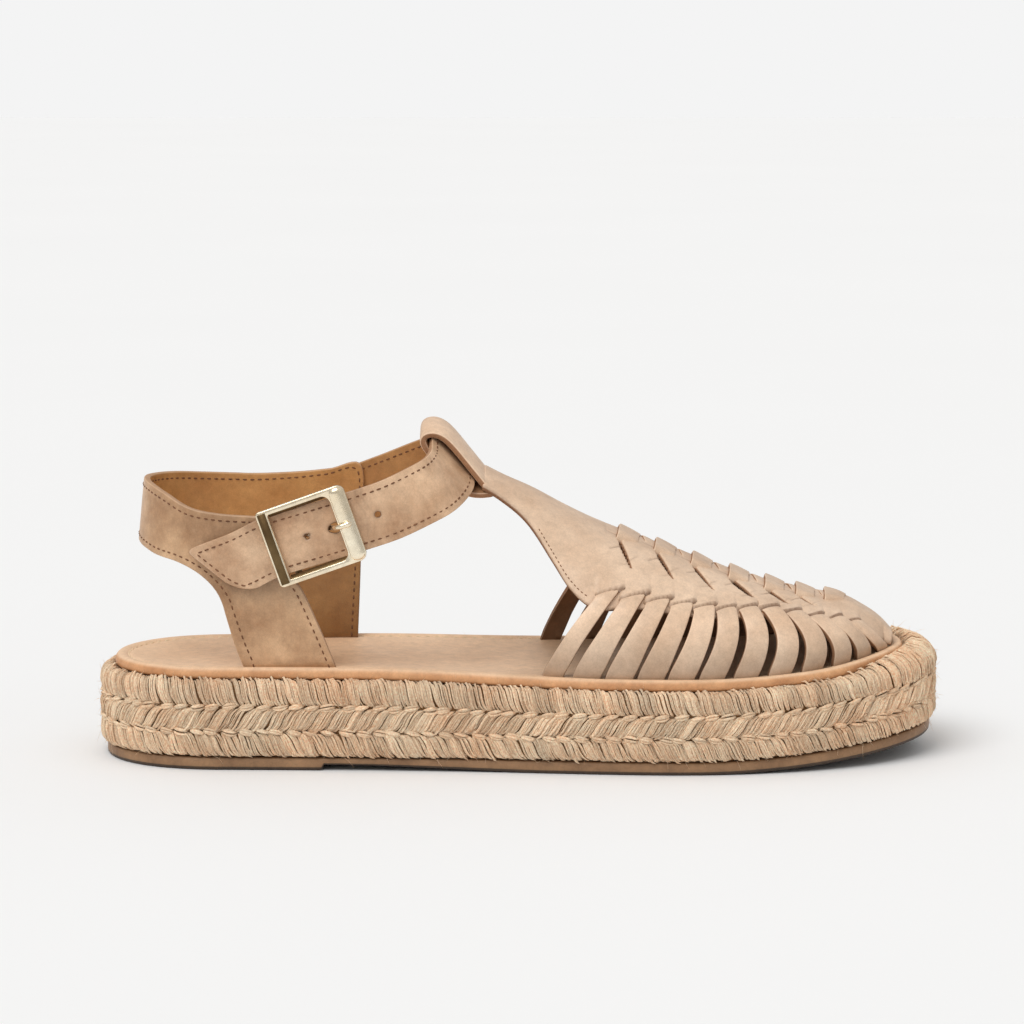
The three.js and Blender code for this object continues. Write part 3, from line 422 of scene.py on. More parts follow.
def makePiece(name, part, material):
    points, faces, marks = part
    faces = np.asarray(faces)
    mesh = bpy.data.meshes.new(name)
    mesh.vertices.add(len(points))
    mesh.vertices.foreach_set("co", (np.asarray(points, float) * mm).astype(np.float32).ravel())
    mesh.loops.add(faces.size)
    mesh.loops.foreach_set("vertex_index", faces.ravel().astype(np.int32))
    mesh.polygons.add(len(faces))
    mesh.polygons.foreach_set("loop_start", np.arange(0, faces.size, faces.shape[1], dtype=np.int32))
    mesh.polygons.foreach_set("use_smooth", np.ones(len(faces), bool))
    mesh.update(calc_edges=True)
    mesh.validate()
    for mark, values in marks.items():
        attribute = mesh.attributes.new(mark, "FLOAT", "POINT")
        attribute.data.foreach_set("value", np.asarray(values, np.float32).ravel())
    mesh.materials.append(material)
    piece = bpy.data.objects.new(name, mesh)
    bpy.context.scene.collection.objects.link(piece)
    return piece


def addPiece(name, part, material, slot, *nodes):
    piece = makePiece(name, part, material)
    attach(piece, "root")
    if nodes:
        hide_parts(*nodes)


# Platform: plan and heights

sole = {
    "length": 262, "heel": 70, "waist": 77, "ball": 92, "outsole": 4, "heelDeck": 27.4, "ballDeck": 25,
    "toeSpring": 7, "springStart": 0.71, "waistRise": 1.8, "outsoleInset": 2, "toeWrap": 2.4, "footbed": 3.6,
    "sideInset": 3.8, "heelInset": 4.8, "toeInset": 10.5, "rim": 4.2, "gap": 0.3, "breast": 0.27,
}
toeTipX, heelTipX = sole["length"] / 2, -sole["length"] / 2


def lengthwise(share):  # from a share of the sole's length, counted from the heel
    return heelTipX + share * sole["length"]


soleBreadth, soleCentre = tableCurves([  # place, breadth, middle as a share of the ball's width
    (0.0, sole["heel"], -0.032), (0.13, sole["heel"], -0.034), (0.42, sole["waist"], -0.027),
    (0.66, sole["ball"], -0.006), (0.8, sole["ball"] * 1.02, 0), (1.0, sole["ball"] * 1.03, 0.012),
])


def rounding(depth, power):
    return np.maximum(1 - np.maximum(depth, 0) ** power, 0) ** (1 / power)


def soleEdge(at, side):
    length, power = (0.35, 2.2) if side < 0 else (0.29, 2.5)
    ends = rounding((at - 1 + length) / length, power) * rounding((0.15 - at) / 0.15, 2.1)
    return soleCentre(at) * sole["ball"] + side * soleBreadth(at) / 2 * ends


def soleLoop(count=1440):  # outline points toe to heel on the outer side and back, with inward normals
    at = (1 + np.cos(np.linspace(0, np.pi, 1500))) / 2
    outer, inner = (np.stack([lengthwise(at), soleEdge(at, side)], axis=1) for side in (-1, 1))
    line = np.concatenate([outer, inner[::-1][1:]])
    run = distances(line)
    spots = np.linspace(0, run[-1], count, endpoint=False)
    points = np.stack([np.interp(spots, run, line[:, k]) for k in range(2)], axis=1)
    ahead = np.roll(points, -3, axis=0) - np.roll(points, 3, axis=0)
    inward = unit(np.stack([ahead[:, 1], -ahead[:, 0]], axis=1))
    if inward[0, 0] > 0:
        inward = -inward
    return points, inward, run[-1]


loopPoints, loopInward, loopLength = soleLoop()


def loopAt(spots):  # plan point and inward normal at distances along the outline
    places = np.linspace(0, loopLength, len(loopPoints) + 1)
    spots = np.mod(spots, loopLength)
    point, inward = (np.stack([np.interp(spots, places, column) for column in wrapped(values.T)], axis=-1)
                     for values in (loopPoints, loopInward))
    return point, unit(inward)


def spring(x):
    start = lengthwise(sole["springStart"])
    return sole["toeSpring"] * (np.maximum(x - start, 0) / (toeTipX - start)) ** 1.8


def treadHeight(x):
    breast = lengthwise(sole["breast"])
    raised = np.where(x > breast, sole["waistRise"] * (1 - smoothStep(breast, breast + 0.28 * sole["length"], x)), 0)
    return raised + spring(x)


def deckHeight(x):
    ease = smoothStep(lengthwise(0.3), lengthwise(0.62), x)
    return sole["heelDeck"] + (sole["ballDeck"] - sole["heelDeck"]) * ease + spring(x)


def footbedInset(x):
    toe, heel = smoothStep(lengthwise(0.84), lengthwise(0.99), x), smoothStep(lengthwise(0.1), heelTipX, x)
    return (sole["sideInset"] + (sole["toeInset"] - sole["sideInset"]) * toe
            + (sole["heelInset"] - sole["sideInset"]) * heel)


def footbedBase(x):
    return deckHeight(x) + sole["gap"]


def ringAt(spots, inset, height):  # inset may be a number, and both may be functions of x
    plan, inward = loopAt(spots)
    reach = inset(plan[..., 0]) if callable(inset) else inset
    flat = plan + inward * np.broadcast_to(reach, plan.shape[:-1])[..., None]
    return stacked(flat[..., 0], flat[..., 1], height(flat[..., 0]))


def ringLoft(rings):  # closed solid between rings; each end narrows to the centre line
    def narrowed(ring, share):
        plan = ring.copy()
        centre = soleCentre((ring[:, 0] - heelTipX) / sole["length"]) * sole["ball"]
        plan[:, 1] = centre + (ring[:, 1] - centre) * share
        return plan

    shares = (0.8, 0.6, 0.4, 0.2, 0.0)
    low = [narrowed(rings[0], share) for share in shares[::-1]]
    stack = np.stack(low + rings + [narrowed(rings[-1], share) for share in shares])
    levels, count = stack.shape[:2]
    faces = quadsOf(wrapped(numbered(levels, count))).reshape(-1, 4)
    return stack.reshape(-1, 3), faces, np.repeat(np.arange(levels) - len(low), count)


ringSpots = np.linspace(0, loopLength, 720, endpoint=False)
outsoleEdge = [(2.4, 0.0), (1.0, 0.0), (0.5, 0.04), (0.12, 0.14), (0.05, 0.26), (0, 0.31), (0.05, 0.6), (0.12, 0.86),
               (0.4, 0.97), (0.8, 1)]  # inset and share of the height


def outsolePart():
    rough = rng.normal(0, 0.05, len(ringSpots))
    top = lambda x: sole["outsole"] + spring(x)
    rings = [ringAt(ringSpots, sole["outsoleInset"] + inset + rough,
                    lambda x, up=up: treadHeight(x) + (top(x) - treadHeight(x)) * up) for inset, up in outsoleEdge]
    points, faces, _ = ringLoft(rings)
    base = treadHeight(points[:, 0])
    up = (points[:, 2] - base) / (top(points[:, 0]) - base)
    darken = 0.1 + 0.66 * smoothStep(0.31, 0.25, up) + 0.1 * smoothStep(0.8, 0.31, up)
    return points, faces, {"darken": darken + 0.2 * smoothStep(0.9, 1, up)}


addPiece("outsole", outsolePart(), soleRubber, "outsole_rubber", "outsole")


# Jute: dark core, three rows of yarn, seam stitches, loose fibres

jute = {
    "rows": 3, "bundle": 4.5, "yarns": 7, "radius": 0.345, "spots": 10, "sides": 6,
    "slant": (5.4, -7.2, 4.6), "lump": 5.1, "lumpRadius": 0.42, "strands": 420, "hairs": 2300, "hairRadius": 0.07,
}
scatter = {  # spread of the random draws, for a yarn and for a bundle of them
    "start": 0.14, "swing": 0.42, "bundleSwing": 0.55, "sink": 0.16, "end": 0.3, "radius": 0.14, "shade": 0.24,
    "bundleShade": 0.16,
}
braidCurves = tableCurves([  # place up a row, inset, share of the row's height
    (0.0, 1.75, 0.03), (0.12, 1.1, 0.1), (0.3, 0.72, 0.28), (0.5, 0.6, 0.5), (0.7, 0.72, 0.72), (0.88, 1.1, 0.9),
    (1.0, 1.75, 0.97),
])
# The top row goes on over the edge to the footbed: the last two columns are the share of the way in and the
# height above the edge
rollCurves = tableCurves([
    (0.0, 1.75, 0.03, 0, 0), (0.12, 1.0, 0.14, 0, 0), (0.3, 0.65, 0.38, 0, 0), (0.48, 0.65, 0.66, 0, 0),
    (0.63, 1.0, 0.9, 0.03, 0.15), (0.76, 1.6, 1.02, 0.25, 0.7), (0.9, 1.8, 1.03, 0.7, 0.95),
    (1.0, 1.8, 0.98, 1.0, 0.35),
])


def braidHeight(x, row):  # row may be a fraction: 0 at the bottom and 3 at the deck
    base = sole["outsole"] + spring(x) + sole["gap"]
    return base + (deckHeight(x) - base) * row / jute["rows"]


def toeWrapHeight(x):
    return sole["toeWrap"] * smoothStep(lengthwise(0.88), lengthwise(0.98), x)


def braidSurface(row, spots, t, sink):  # points on a row's outside at distances `spots` and heights `t`
    isTop = row == jute["rows"] - 1
    plan, inward = loopAt(spots)
    x = plan[..., 0]
    inset, up, *rolled = (curve(t) for curve in (rollCurves if isTop else braidCurves))
    height = braidHeight(x, row + up)
    normalUp = np.zeros_like(t)
    if isTop:
        roll, over = rolled
        inset = inset + (footbedInset(x) + 0.2 - inset) * roll
        height = height + toeWrapHeight(x) * over
        normalUp = smoothStep(0.45, 0.85, t)
    flat = plan + inward * (inset + sink * (1 - normalUp))[..., None]
    normal = np.concatenate([-inward * (1 - 0.9 * normalUp)[..., None], normalUp[..., None]], axis=-1)
    return stacked(flat[..., 0], flat[..., 1], height - sink * normalUp), unit(normal)


def slantBend(t):  # share of a row's slant at height t, steeper near both edges
    return 0.6 * (t - 0.5) + 1.6 * (t - 0.5) ** 3


def yarnRow(row):
    bundles = round(loopLength / jute["bundle"])
    period = loopLength / bundles
    bundle = np.repeat(np.arange(bundles), jute["yarns"])
    place = np.tile((np.arange(jute["yarns"]) + 0.5) / jute["yarns"], bundles)
    count = len(place)
    across = place * 2 - 1
    start = (bundle + 0.5 + across * 0.485) * period + rng.normal(0, scatter["start"], count)
    swing = np.repeat(rng.normal(0, scatter["bundleSwing"], bundles), jute["yarns"])
    swing = swing + rng.normal(0, scatter["swing"], count)
    t = np.broadcast_to(np.linspace(0, 1, jute["spots"]), (count, jute["spots"]))
    gather = 1 - 0.3 * np.abs(2 * t - 1) ** 4
    centre = ((bundle + 0.5) * period)[:, None]
    spots = centre + (start[:, None] - centre) * gather + (jute["slant"][row] + swing[:, None]) * slantBend(t)
    sink = 0.28 * across[:, None] ** 2 * np.ones_like(t) + rng.normal(0, scatter["sink"], (count, 1)) - 0.05
    sink = sink + 0.06 * np.sin(t * 9 + rng.uniform(0, 6, (count, 1)))
    points, normals = braidSurface(row, spots, t, sink)
    ragged = rng.normal(0, scatter["end"], (count, 1))
    if row == jute["rows"] - 1:
        points[..., 2] += (0.3 + 1.5 * np.maximum(ragged, -0.2)) * smoothStep(0.7, 0.95, t)
    else:
        points[..., 2] += ragged * smoothStep(0.3, 0, t)
    radius = jute["radius"] * (1 + rng.normal(0, scatter["radius"], (count, 1)))
    radius = radius * (1 + 0.05 * np.sin(t * 14 + place[:, None] * 9))
    shade = 0.5 + np.repeat(rng.normal(0, scatter["bundleShade"], bundles), jute["yarns"])
    shade = shade + rng.normal(0, scatter["shade"], count)
    # painted light: yarns grow lighter towards the toe (x 90 to 128 mm), on top of their random tone
    shade = np.clip(shade + 0.7 * smoothStep(90, 128, points[:, 4, 0]), 0, 1.5)
    return tubes(points, radius, jute["sides"], up=normals, shade=shade)


def seamLumps(seam):  # stitches that sew two rows together, each of three strands
    count = round(loopLength / jute["lump"])
    pitch = loopLength / count
    t = np.linspace(0, 1, 9)
    starts = (np.arange(count) * pitch + rng.normal(0, 0.45, count))[:, None]
    arch = np.sin(np.pi * t) ** 0.7
    plan, inward = loopAt(starts + (0.03 + 0.98 * t) * pitch)
    x = plan[..., 0]
    normal = stacked(-inward[..., 0], -inward[..., 1], 0.0)
    tilt = (t - 0.5) * (0.9 if seam == 1 else -0.9)
    parts = []
    for strand in (-1, 0, 1):
        level = braidHeight(x, seam) + tilt + strand * 0.58 * arch + rng.normal(0, 0.24, (count, 1))
        reach = 1.7 - 1.35 * arch + 0.2 * abs(strand) * arch + rng.normal(0, 0.08, (count, 1))
        flat = plan + inward * reach[..., None]
        shade = np.clip(rng.normal(0.62, 0.25, count), 0, 1)
        path = stacked(flat[..., 0], flat[..., 1], level)
        parts.append(tubes(path, jute["lumpRadius"] * (0.5 + 0.55 * arch), up=normal, shade=shade))
    return joinMeshes(parts)


def looseFibres(count):
    row = rng.integers(0, jute["rows"], count)
    spots = rng.uniform(0, loopLength, count)
    t = np.where(rng.uniform(size=count) < 0.5, rng.uniform(0.0, 1.0, count), rng.choice([0.02, 0.97], count))
    length = rng.uniform(1.2, 5.5, count) * rng.uniform(0.4, 1, count)
    share = np.linspace(0, 1, 5)
    drift = rng.normal(0, 0.8, count)
    lift = rng.uniform(-0.2, 0.9, count)
    paths = np.zeros((count, 5, 3))
    for level in range(jute["rows"]):
        mine = row == level
        sink = np.full(mine.sum(), -0.1)
        root, normal = braidSurface(level, spots[mine], t[mine], sink)
        near, _ = braidSurface(level, spots[mine] + 1, t[mine], sink)
        side = unit(near - root)
        upward = np.cross(side, normal)
        upward *= np.sign(upward[:, 2:] + 1e-9)
        reach = length[mine][:, None, None] * share[None, :, None]
        aim = side * drift[mine][:, None] + upward * rng.normal(0, 0.6, (mine.sum(), 1)) + normal * 0.35
        bent = upward * rng.normal(0, 0.5, (mine.sum(), 1)) + normal * lift[mine][:, None] * 0.4
        paths[mine] = root[:, None] + reach * (unit(aim)[:, None] + bent[:, None] * (share ** 2)[None, :, None])
    paths[..., 2] = np.maximum(paths[..., 2], 0.3)  # none below the floor
    return tubes(paths, jute["hairRadius"] * (1 - 0.6 * share), 3, shade=rng.uniform(0.5, 1, count))


def looseStrands(row, count):  # thin strands that lie over the yarns of a row
    t = np.linspace(0.0, 1.0, 9)[None] * rng.uniform(0.5, 1, (count, 1)) + rng.uniform(0, 0.3, (count, 1))
    t = np.clip(t, 0, 1)
    spots = rng.uniform(0, loopLength, (count, 1))
    spots = spots + (jute["slant"][row] + rng.normal(0, 0.8, (count, 1))) * slantBend(t)
    sink = -0.42 + rng.normal(0, 0.08, (count, 1)) - 0.1 * np.sin(t * 7 + rng.uniform(0, 6, (count, 1)))
    points, normals = braidSurface(row, spots, t, sink)
    return tubes(points, rng.uniform(0.08, 0.2, (count, 1)), 5, up=normals, shade=rng.uniform(0.55, 1, count))


def juteCore():
    rings = [ringAt(ringSpots, sole["outsoleInset"] + 1.2, lambda x: braidHeight(x, 0))]
    for row in range(jute["rows"]):
        for at in (0.1, 0.3, 0.6, 0.92):
            height = lambda x, level=row + at: braidHeight(x, level)
            rings.append(ringAt(ringSpots, float(braidCurves[0](at)) + 0.55, height))
    rings.append(ringAt(ringSpots, lambda x: footbedInset(x) * 0.6 + 0.8,
                        lambda x: deckHeight(x) + toeWrapHeight(x) * 0.8 - 0.3))
    rings.append(ringAt(ringSpots, lambda x: footbedInset(x) + 1.5, lambda x: deckHeight(x) - 0.1))
    points, faces, _ = ringLoft(rings)
    zeros = np.zeros(len(points))
    return points, faces, {"along": points[:, 0], "around": zeros, "shade": zeros + 0.4}


addPiece("juteCore", juteCore(), juteShadow, "jute", "jute_midsole")
for row, title in enumerate(("lower", "middle", "upper")):
    addPiece("yarnRow." + title, yarnRow(row), juteYarn, "jute")
strands = joinMeshes([looseStrands(row, jute["strands"]) for row in range(jute["rows"])])
addPiece("looseStrands", strands, juteYarn, "jute")
for level in (1, 2):
    addPiece(f"seamStitches.{level}", seamLumps(level), juteYarn, "jute")
addPiece("looseFibres", looseFibres(jute["hairs"] // (1)), juteYarn, "jute")
print("platform ready")


# Footbed: rolled rim, stitched groove, cushioned middle

footbedInsets, footbedUps = tableCurves([  # level, inset as a share of the rim, share of the height
    (0, 0.3, 0.0), (1, 0.1, 0.1), (2, 0, 0.3), (3, 0.02, 0.66), (4, 0.2, 0.93), (5, 0.5, 1.0), (6, 0.8, 0.93),
    (7, 1.0, 0.82), (8, 1.2, 0.86), (9, 1.6, 0.88), (10, 2.6, 0.78), (11, 4.1, 0.64),
])
rimStitches = {"level": 6.9, "pitch": 3.0, "share": 0.78, "radius": 0.26, "sink": 0.3, "lift": 0.08}


def footbedRing(level, spots=ringSpots):
    inset, up = float(footbedInsets(level)), float(footbedUps(level))
    return ringAt(spots, lambda x: footbedInset(x) + sole["rim"] * inset,
                  lambda x: footbedBase(x) + sole["footbed"] * up)


def footbedPart():
    points, faces, level = ringLoft([footbedRing(level) for level in np.linspace(0, 11, 45)])
    rimSide = 1 - smoothStep(3.1, 4.2, level / 4)
    # painted shade on the footbed's middle, from where the vamp starts to the toe
    darken = 0.45 * smoothStep(-2, 26, points[:, 0]) * (1 - rimSide) * smoothStep(5.2, 7.5, level / 4)
    return points, faces, {"rimSide": rimSide, "darken": darken}


addPiece("footbed", footbedPart(), footbedLeather, "footbed_leather", "insole")
rimLine = footbedRing(rimStitches["level"], np.append(ringSpots, loopLength))
rimSeam = stitchRun(rimLine, np.tile([0, 0, 1.0], (len(rimLine), 1)), rimStitches, 3)
addPiece("rimStitches", rimSeam, creamThread, "footbed_leather")
print("footbed ready")


# The last under the vamp

upper = {
    "leather": 2.0, "strip": 1.8, "height": 60, "lean": 2, "feather": 6.2, "featherUp": 0.75, "bluntness": 1.7,
    "strips": 12, "stripWidth": 8.9, "stripLift": 0.9, "slotSlant": 0.035, "crossings": 7, "crossingLift": 1.3,
    "slit": 2.2, "slitLength": 16, "stripArch": 0.35, "stripDip": 1.5, "tip": 0.9425,
}
lastRidge, lastReach, lastFull = tableCurves([  # place, height of the ridge, reach to the feather edge, fullness
    (0.451, 0.98, 0.93, 2.05), (0.477, 0.926, 0.94, 2.1), (0.513, 0.861, 0.95, 2.15), (0.549, 0.781, 0.97, 2.2),
    (0.585, 0.707, 1, 2.25), (0.664, 0.573, 1, 2.3), (0.752, 0.43, 1, 2.3), (0.856, 0.28, 1, 2.3),
    (0.888, 0.247, 1, 2.25), (0.909, 0.19, 1, 2.2), (0.928, 0.125, 1, 2.1), (0.945, 0.035, 1, 2),
])
featherLoop = loopPoints + loopInward * (footbedInset(loopPoints[:, 0]) + upper["feather"])[:, None]
heelIndex = int(np.argmin(featherLoop[:, 0]))
featherSides = {-1: featherLoop[:heelIndex + 1], 1: np.concatenate([featherLoop[heelIndex:], featherLoop[:1]])}


def featherEdge(x, side):
    line = featherSides[side]
    line = line[np.argsort(line[:, 0])]
    return np.interp(np.minimum(x, line[-1, 0] - upper["bluntness"]), line[:, 0], line[:, 1])


def featherHeight(x):
    return footbedBase(x) + sole["footbed"] * upper["featherUp"]


def lastPoint(x, girth):  # girth runs from -1 at the outer feather edge over 0 at the ridge to 1
    x, girth = np.broadcast_arrays(np.asarray(x, float), np.asarray(girth, float))
    at = (x - heelTipX) / sole["length"]
    angle = np.minimum(np.abs(girth), 1) * np.pi / 2
    power = 2 / lastFull(at)
    ridge = upper["lean"] * smoothStep(0.945, 0.85, at)
    feather = np.where(girth < 0, featherEdge(x, -1), featherEdge(x, 1))
    y = ridge + (feather * lastReach(at) - ridge) * np.sin(angle) ** power
    z = featherHeight(x) + upper["height"] * lastRidge(at) * np.maximum(np.cos(angle), 0) ** power
    return np.stack([x, y, z], axis=-1)


def onLast(x, girth, offset):  # point at a distance above the last's surface, and the normal there
    held = np.clip(girth, -0.985, 0.985)
    along = lastPoint(x + 0.6, held) - lastPoint(x - 0.6, held)
    across = lastPoint(x, held + 0.012) - lastPoint(x, held - 0.012)
    normal = unit(np.cross(along, across))
    return lastPoint(x, girth) + normal * np.asarray(offset)[..., None], normal


def girthScale(x, girth):  # millimetres per unit of girth
    held = np.clip(girth, -0.985, 0.985)
    return np.linalg.norm(lastPoint(x, held + 0.01) - lastPoint(x, held - 0.01), axis=-1) / 0.02


# Vamp panel with its slits, and the strips' places on it

panelRows = [  # place, half width in girth
    (0.455, 0.26), (0.477, 0.28), (0.507, 0.36), (0.539, 0.53), (0.558, 0.63), (0.585, 0.7), (0.634, 0.66),
    (0.689, 0.64), (0.739, 0.6), (0.791, 0.52), (0.845, 0.53), (0.893, 0.58), (0.92, 0.74), (0.9425, 0.88),
]
panelHalf, = tableCurves(panelRows)
slitTopX, slitLowX, slitTopGirth, slitLowGirth = tableCurves([  # slit, place and girth of its top and low end
    (1, 0.617, 0.63, 0.135, 0.41), (3, 0.705, 0.727, 0.125, 0.375), (5, 0.793, 0.817, 0.14, 0.345),
    (7, 0.866, 0.876, 0.14, 0.29),
])
slitOpen = (0.66, 0.76, 0.85, 1.6, 1.25, 0.7)  # how far each slit gapes
stripNames = ("base", "top", "innerTop", "foot", "head", "bow", "edge")
stripCurves = tableCurves([  # strip, then the values of stripNames
    (1, 0.539, 0.605, 0.596, 0.8, 0.8, 0.002, 0.6), (2, 0.578, 0.634, 0.63, 1, 0.84, 0.002, 0.59),
    (4, 0.652, 0.689, 0.689, 1, 0.76, 0.004, 0.57), (6, 0.722, 0.739, 0.739, 0.94, 0.66, 0.009, 0.53),
    (8, 0.801, 0.791, 0.791, 0.85, 0.6, 0.014, 0.44), (10, 0.873, 0.845, 0.845, 0.62, 0.55, 0.01, 0.46),
    (12, 0.928, 0.89, 0.89, 0.42, 0.46, 0.004, 0.52),
])
seam = {"pitch": 2.35, "share": 0.72, "radius": 0.24, "sink": 0.2, "lift": 0.04, "inset": 2.1}
fineSeam = {"pitch": 1.5, "share": 0.7, "radius": 0.15, "sink": 0.12, "lift": 0.08, "inset": 2.7}
creaseRows = [  # from a slit's place down its length: start, end (mm forward and down), depth
    (0.42, (-0.9, 0.0), (-4.2, 3.4), 0.34), (0.0, (-0.4, -0.4), (-4.6, -1.6), 0.26),
    (0.75, (0.9, 0.2), (3.2, -2.6), 0.16), (0.9, (-1.0, 0.6), (-3.4, 2.0), 0.14),
]


def stripPlace(index, side):
    value = {name: float(curve(index)) for name, curve in zip(stripNames, stripCurves)}
    forward = 0 if side < 0 else 0.017 * smoothStep(1.5, 3.5, index) * smoothStep(8.2, 6.2, index)
    value["baseX"] = lengthwise(value["base"] + forward)
    value["topX"] = lengthwise(value["top" if side < 0 else "innerTop"] + forward)
    return value


def slitMiddle(index, t):
    low, high = slitTopX(index), slitLowX(index)
    return lengthwise(low + (high - low) * t ** 1.5)


def groove(across, along, ends, width):  # 1 in the middle of a short straight crease, 0 beside it
    (startX, startY), (endX, endY) = ends
    run = np.array([endX - startX, endY - startY])
    share = np.clip(((across - startX) * run[0] + (along - startY) * run[1]) / (run @ run), 0, 1)
    distance = np.hypot(across - startX - share * run[0], along - startY - share * run[1])
    return bell(distance, width) * (1 - 0.5 * share)


def panelRelief(x, girth):  # lips over the strips' slots and creases beside the slits; the crease mark paints shade into the slot lips and creases
    scale = girthScale(x, girth)
    lift, crease = np.zeros(x.shape), np.zeros(x.shape)
    for side in (-1, 1):
        mine = np.where(side * girth > 0, 1.0, 0.0)
        for index in range(1, upper["strips"] + 1):
            place = stripPlace(index, side)
            end = (x - place["topX"]) / (place["head"] * upper["stripWidth"] / 2)
            above = (place["edge"] - end * upper["slotSlant"] - side * girth) * scale
            window = mine * (1 - smoothStep(0.95, 1.25, np.abs(end)))
            lift += window * np.where(above > -0.15, 0.95 * np.exp(-np.maximum(above, 0) / 2.6), -0.35)
            crease = np.maximum(crease, window * bell(np.abs(above + 0.1), 0.62) * 1.25)
        for index in range(1, upper["crossings"]):
            low, high = slitTopGirth(index), slitLowGirth(index)
            for share, start, finish, depth in creaseRows:
                along = (side * girth - low - (high - low) * share) * scale
                mark = mine * groove(x - slitMiddle(index, share), along, (start, finish), 0.42)
                lift -= depth * mark
                crease = np.maximum(crease, mark * depth * 2.9)
    return lift, np.clip(crease, 0, 1)


farAway = 9.0  # mm, for points that are near no cut


def cellsInside(inside):  # the grid's cells with all four corners inside a hole
    return inside[:-1, :-1] & inside[1:, :-1] & inside[1:, 1:] & inside[:-1, 1:]


def panelPart():
    rows, columns = 296, 134
    at = np.linspace(panelRows[0][0], panelRows[-1][0], rows)
    x = np.repeat(lengthwise(at)[:, None], columns, axis=1)
    share = lineSpots(70, columns - 8, 0.9) * 2 - 1
    girth = panelHalf(at)[:, None] * share[None]
    gap = np.full(x.shape, farAway)
    inside = np.zeros(x.shape, bool)
    step = (at[1] - at[0]) * sole["length"]
    for index in range(1, upper["crossings"]):
        for side in (-1, 1):
            top, low = slitTopGirth(index), slitLowGirth(index)
            t = (side * girth - top) / (low - top)
            held = np.clip(t, 0, 1)
            half = upper["slit"] / 2 * (0.3 + 0.7 * np.sin(np.pi * held)) * slitOpen[index - 1]
            beside = x - slitMiddle(index, held)
            beyond = np.maximum(np.maximum(-t, t - 1), 0) * upper["slitLength"]
            gap = np.minimum(gap, np.hypot(np.maximum(np.abs(beside) - half, 0), beyond))
            within = (t >= 0) & (t <= 1)
            near = within & (np.abs(np.abs(beside) - half) < 0.52 * step)
            x[near] += (np.sign(beside) * half - beside)[near]
            gap[near] = 0
            inside |= within & (np.abs(beside) < half + 0.01)
    lift, crease = panelRelief(x, girth)
    sag = 0.22 * np.sin(x * 0.21 + girth * 5) * np.sin(girth * 9 + x * 0.08)
    middle, _ = onLast(x, girth, upper["leather"] / 2 + lift + sag * (at > 0.6)[:, None])
    fromEdge = (1 - np.abs(share))[None] * panelHalf(at)[:, None] * girthScale(x, girth)
    # the crease mark also makes the panel darker along its edges
    crease = np.maximum(crease, 0.85 * bell(fromEdge, 0.7) * rng.uniform(0.5, 1, x.shape))
    return leatherSheet(middle, upper["leather"], 0.8, ~cellsInside(inside), gap * 1.4, extra={"crease": crease})


def barStitches():  # fine seam along the lower edges of the T-bar
    parts = []
    for side in (-1, 1):
        at = np.linspace(0.521, 0.581, 90)
        x, girth = lengthwise(at), side * panelHalf(at)
        girth = girth - side * fineSeam["inset"] / girthScale(x, girth)
        line, normal = onLast(x, girth, np.full(90, upper["leather"]))
        parts.append(stitchRun(line, normal, fineSeam, 31))
    return joinMeshes(parts)


addPiece("vampPanel", panelPart(), upperLeather, "leather", "upper_vamp")
addPiece("barStitches", barStitches(), brownThread, "leather")


# Side strips: from the feather edge up over the panel's edge, each end dipping through its slot

stripSpots = np.array([-0.07, -0.03, *np.linspace(0, 0.9, 20), 0.93, 0.955, 0.975, 0.99, 1.005, 1.02, 1.05, 1.08])


def sideStrip(index, side):
    value = stripPlace(index, side)
    t = stripSpots[:, None]
    end = (lineSpots(7, 9, 0.7) * 2 - 1)[None, :]
    held = np.clip(t, 0, 1)
    middle = value["baseX"] + (value["topX"] - value["baseX"]) * held
    middle = middle + value["bow"] * sole["length"] * np.sin(np.pi * held)
    half = (value["foot"] + (value["head"] - value["foot"]) * held) * upper["stripWidth"] / 2
    half = half * (1 - 0.09 * smoothStep(0.12, -0.02, t))
    slot = value["edge"] - end * upper["slotSlant"]
    x = np.minimum(middle + end * half, lengthwise(upper["tip"]))
    girth = side * (1 + (slot - 1) * t.clip(0, 1.2))
    arch = np.sin(np.pi * held)
    lift = upper["stripLift"] * np.clip(held * 4, 0, 1) + upper["stripArch"] * arch
    lift = lift - upper["stripDip"] * smoothStep(0.93, 1.03, t)
    lift = lift + rng.normal(0, 0.12) * arch + 0.12 * end * rng.normal(0, 1) * held
    points, _ = onLast(x, girth, upper["leather"] - upper["strip"] / 2 + lift)
    under = np.clip(-t, 0, 1) / 0.07
    points[..., 2] -= under
    points[..., 1] -= side * under ** 2 * 1.6
    # painted shade darkens each strip towards its foot, and a painted highlight lightens it just below the top; the
    # small random part is each strip's own tone
    shade = 0.36 * (1 - smoothStep(0.0, 0.6, held)) - 0.07 * bell(held - 0.74, 0.12) + rng.normal(0, 0.03)
    darken = np.broadcast_to(shade, x.shape)[:, ::side]
    return leatherSheet(points[:, ::side], upper["strip"], 0.4, crown=0.3, extra={"darken": darken})


strips = [sideStrip(index, side) for side in (-1, 1) for index in range(1, upper["strips"] + 1)]
addPiece("sideStrips", joinMeshes(strips), upperLeather, "leather")


# Crossings over the ridge: their heel edges stand up and their toe edges lie flush

def mirrored(half):  # curve through rows and their mirror image
    rows = [(-place, value) for place, value in half[::-1]] + half
    return curveThrough(*zip(*rows))


crossings = {
    False: {"width": 6.9, "narrowing": 0.1, "start": -0.5, "span": 1.18, "slant": 0.7, "between": 0,
            "lift": mirrored([(0.5, 1.0), (0.95, 0.9), (1.08, 0.35), (1.2, -1.2)])},
    True: {"width": 4.6, "narrowing": 0, "start": 7.4, "span": 0.8, "slant": -1.4, "between": 0.5,
           "lift": mirrored([(0.4, 0.25), (0.66, -0.3), (0.8, -1.1)])},
}


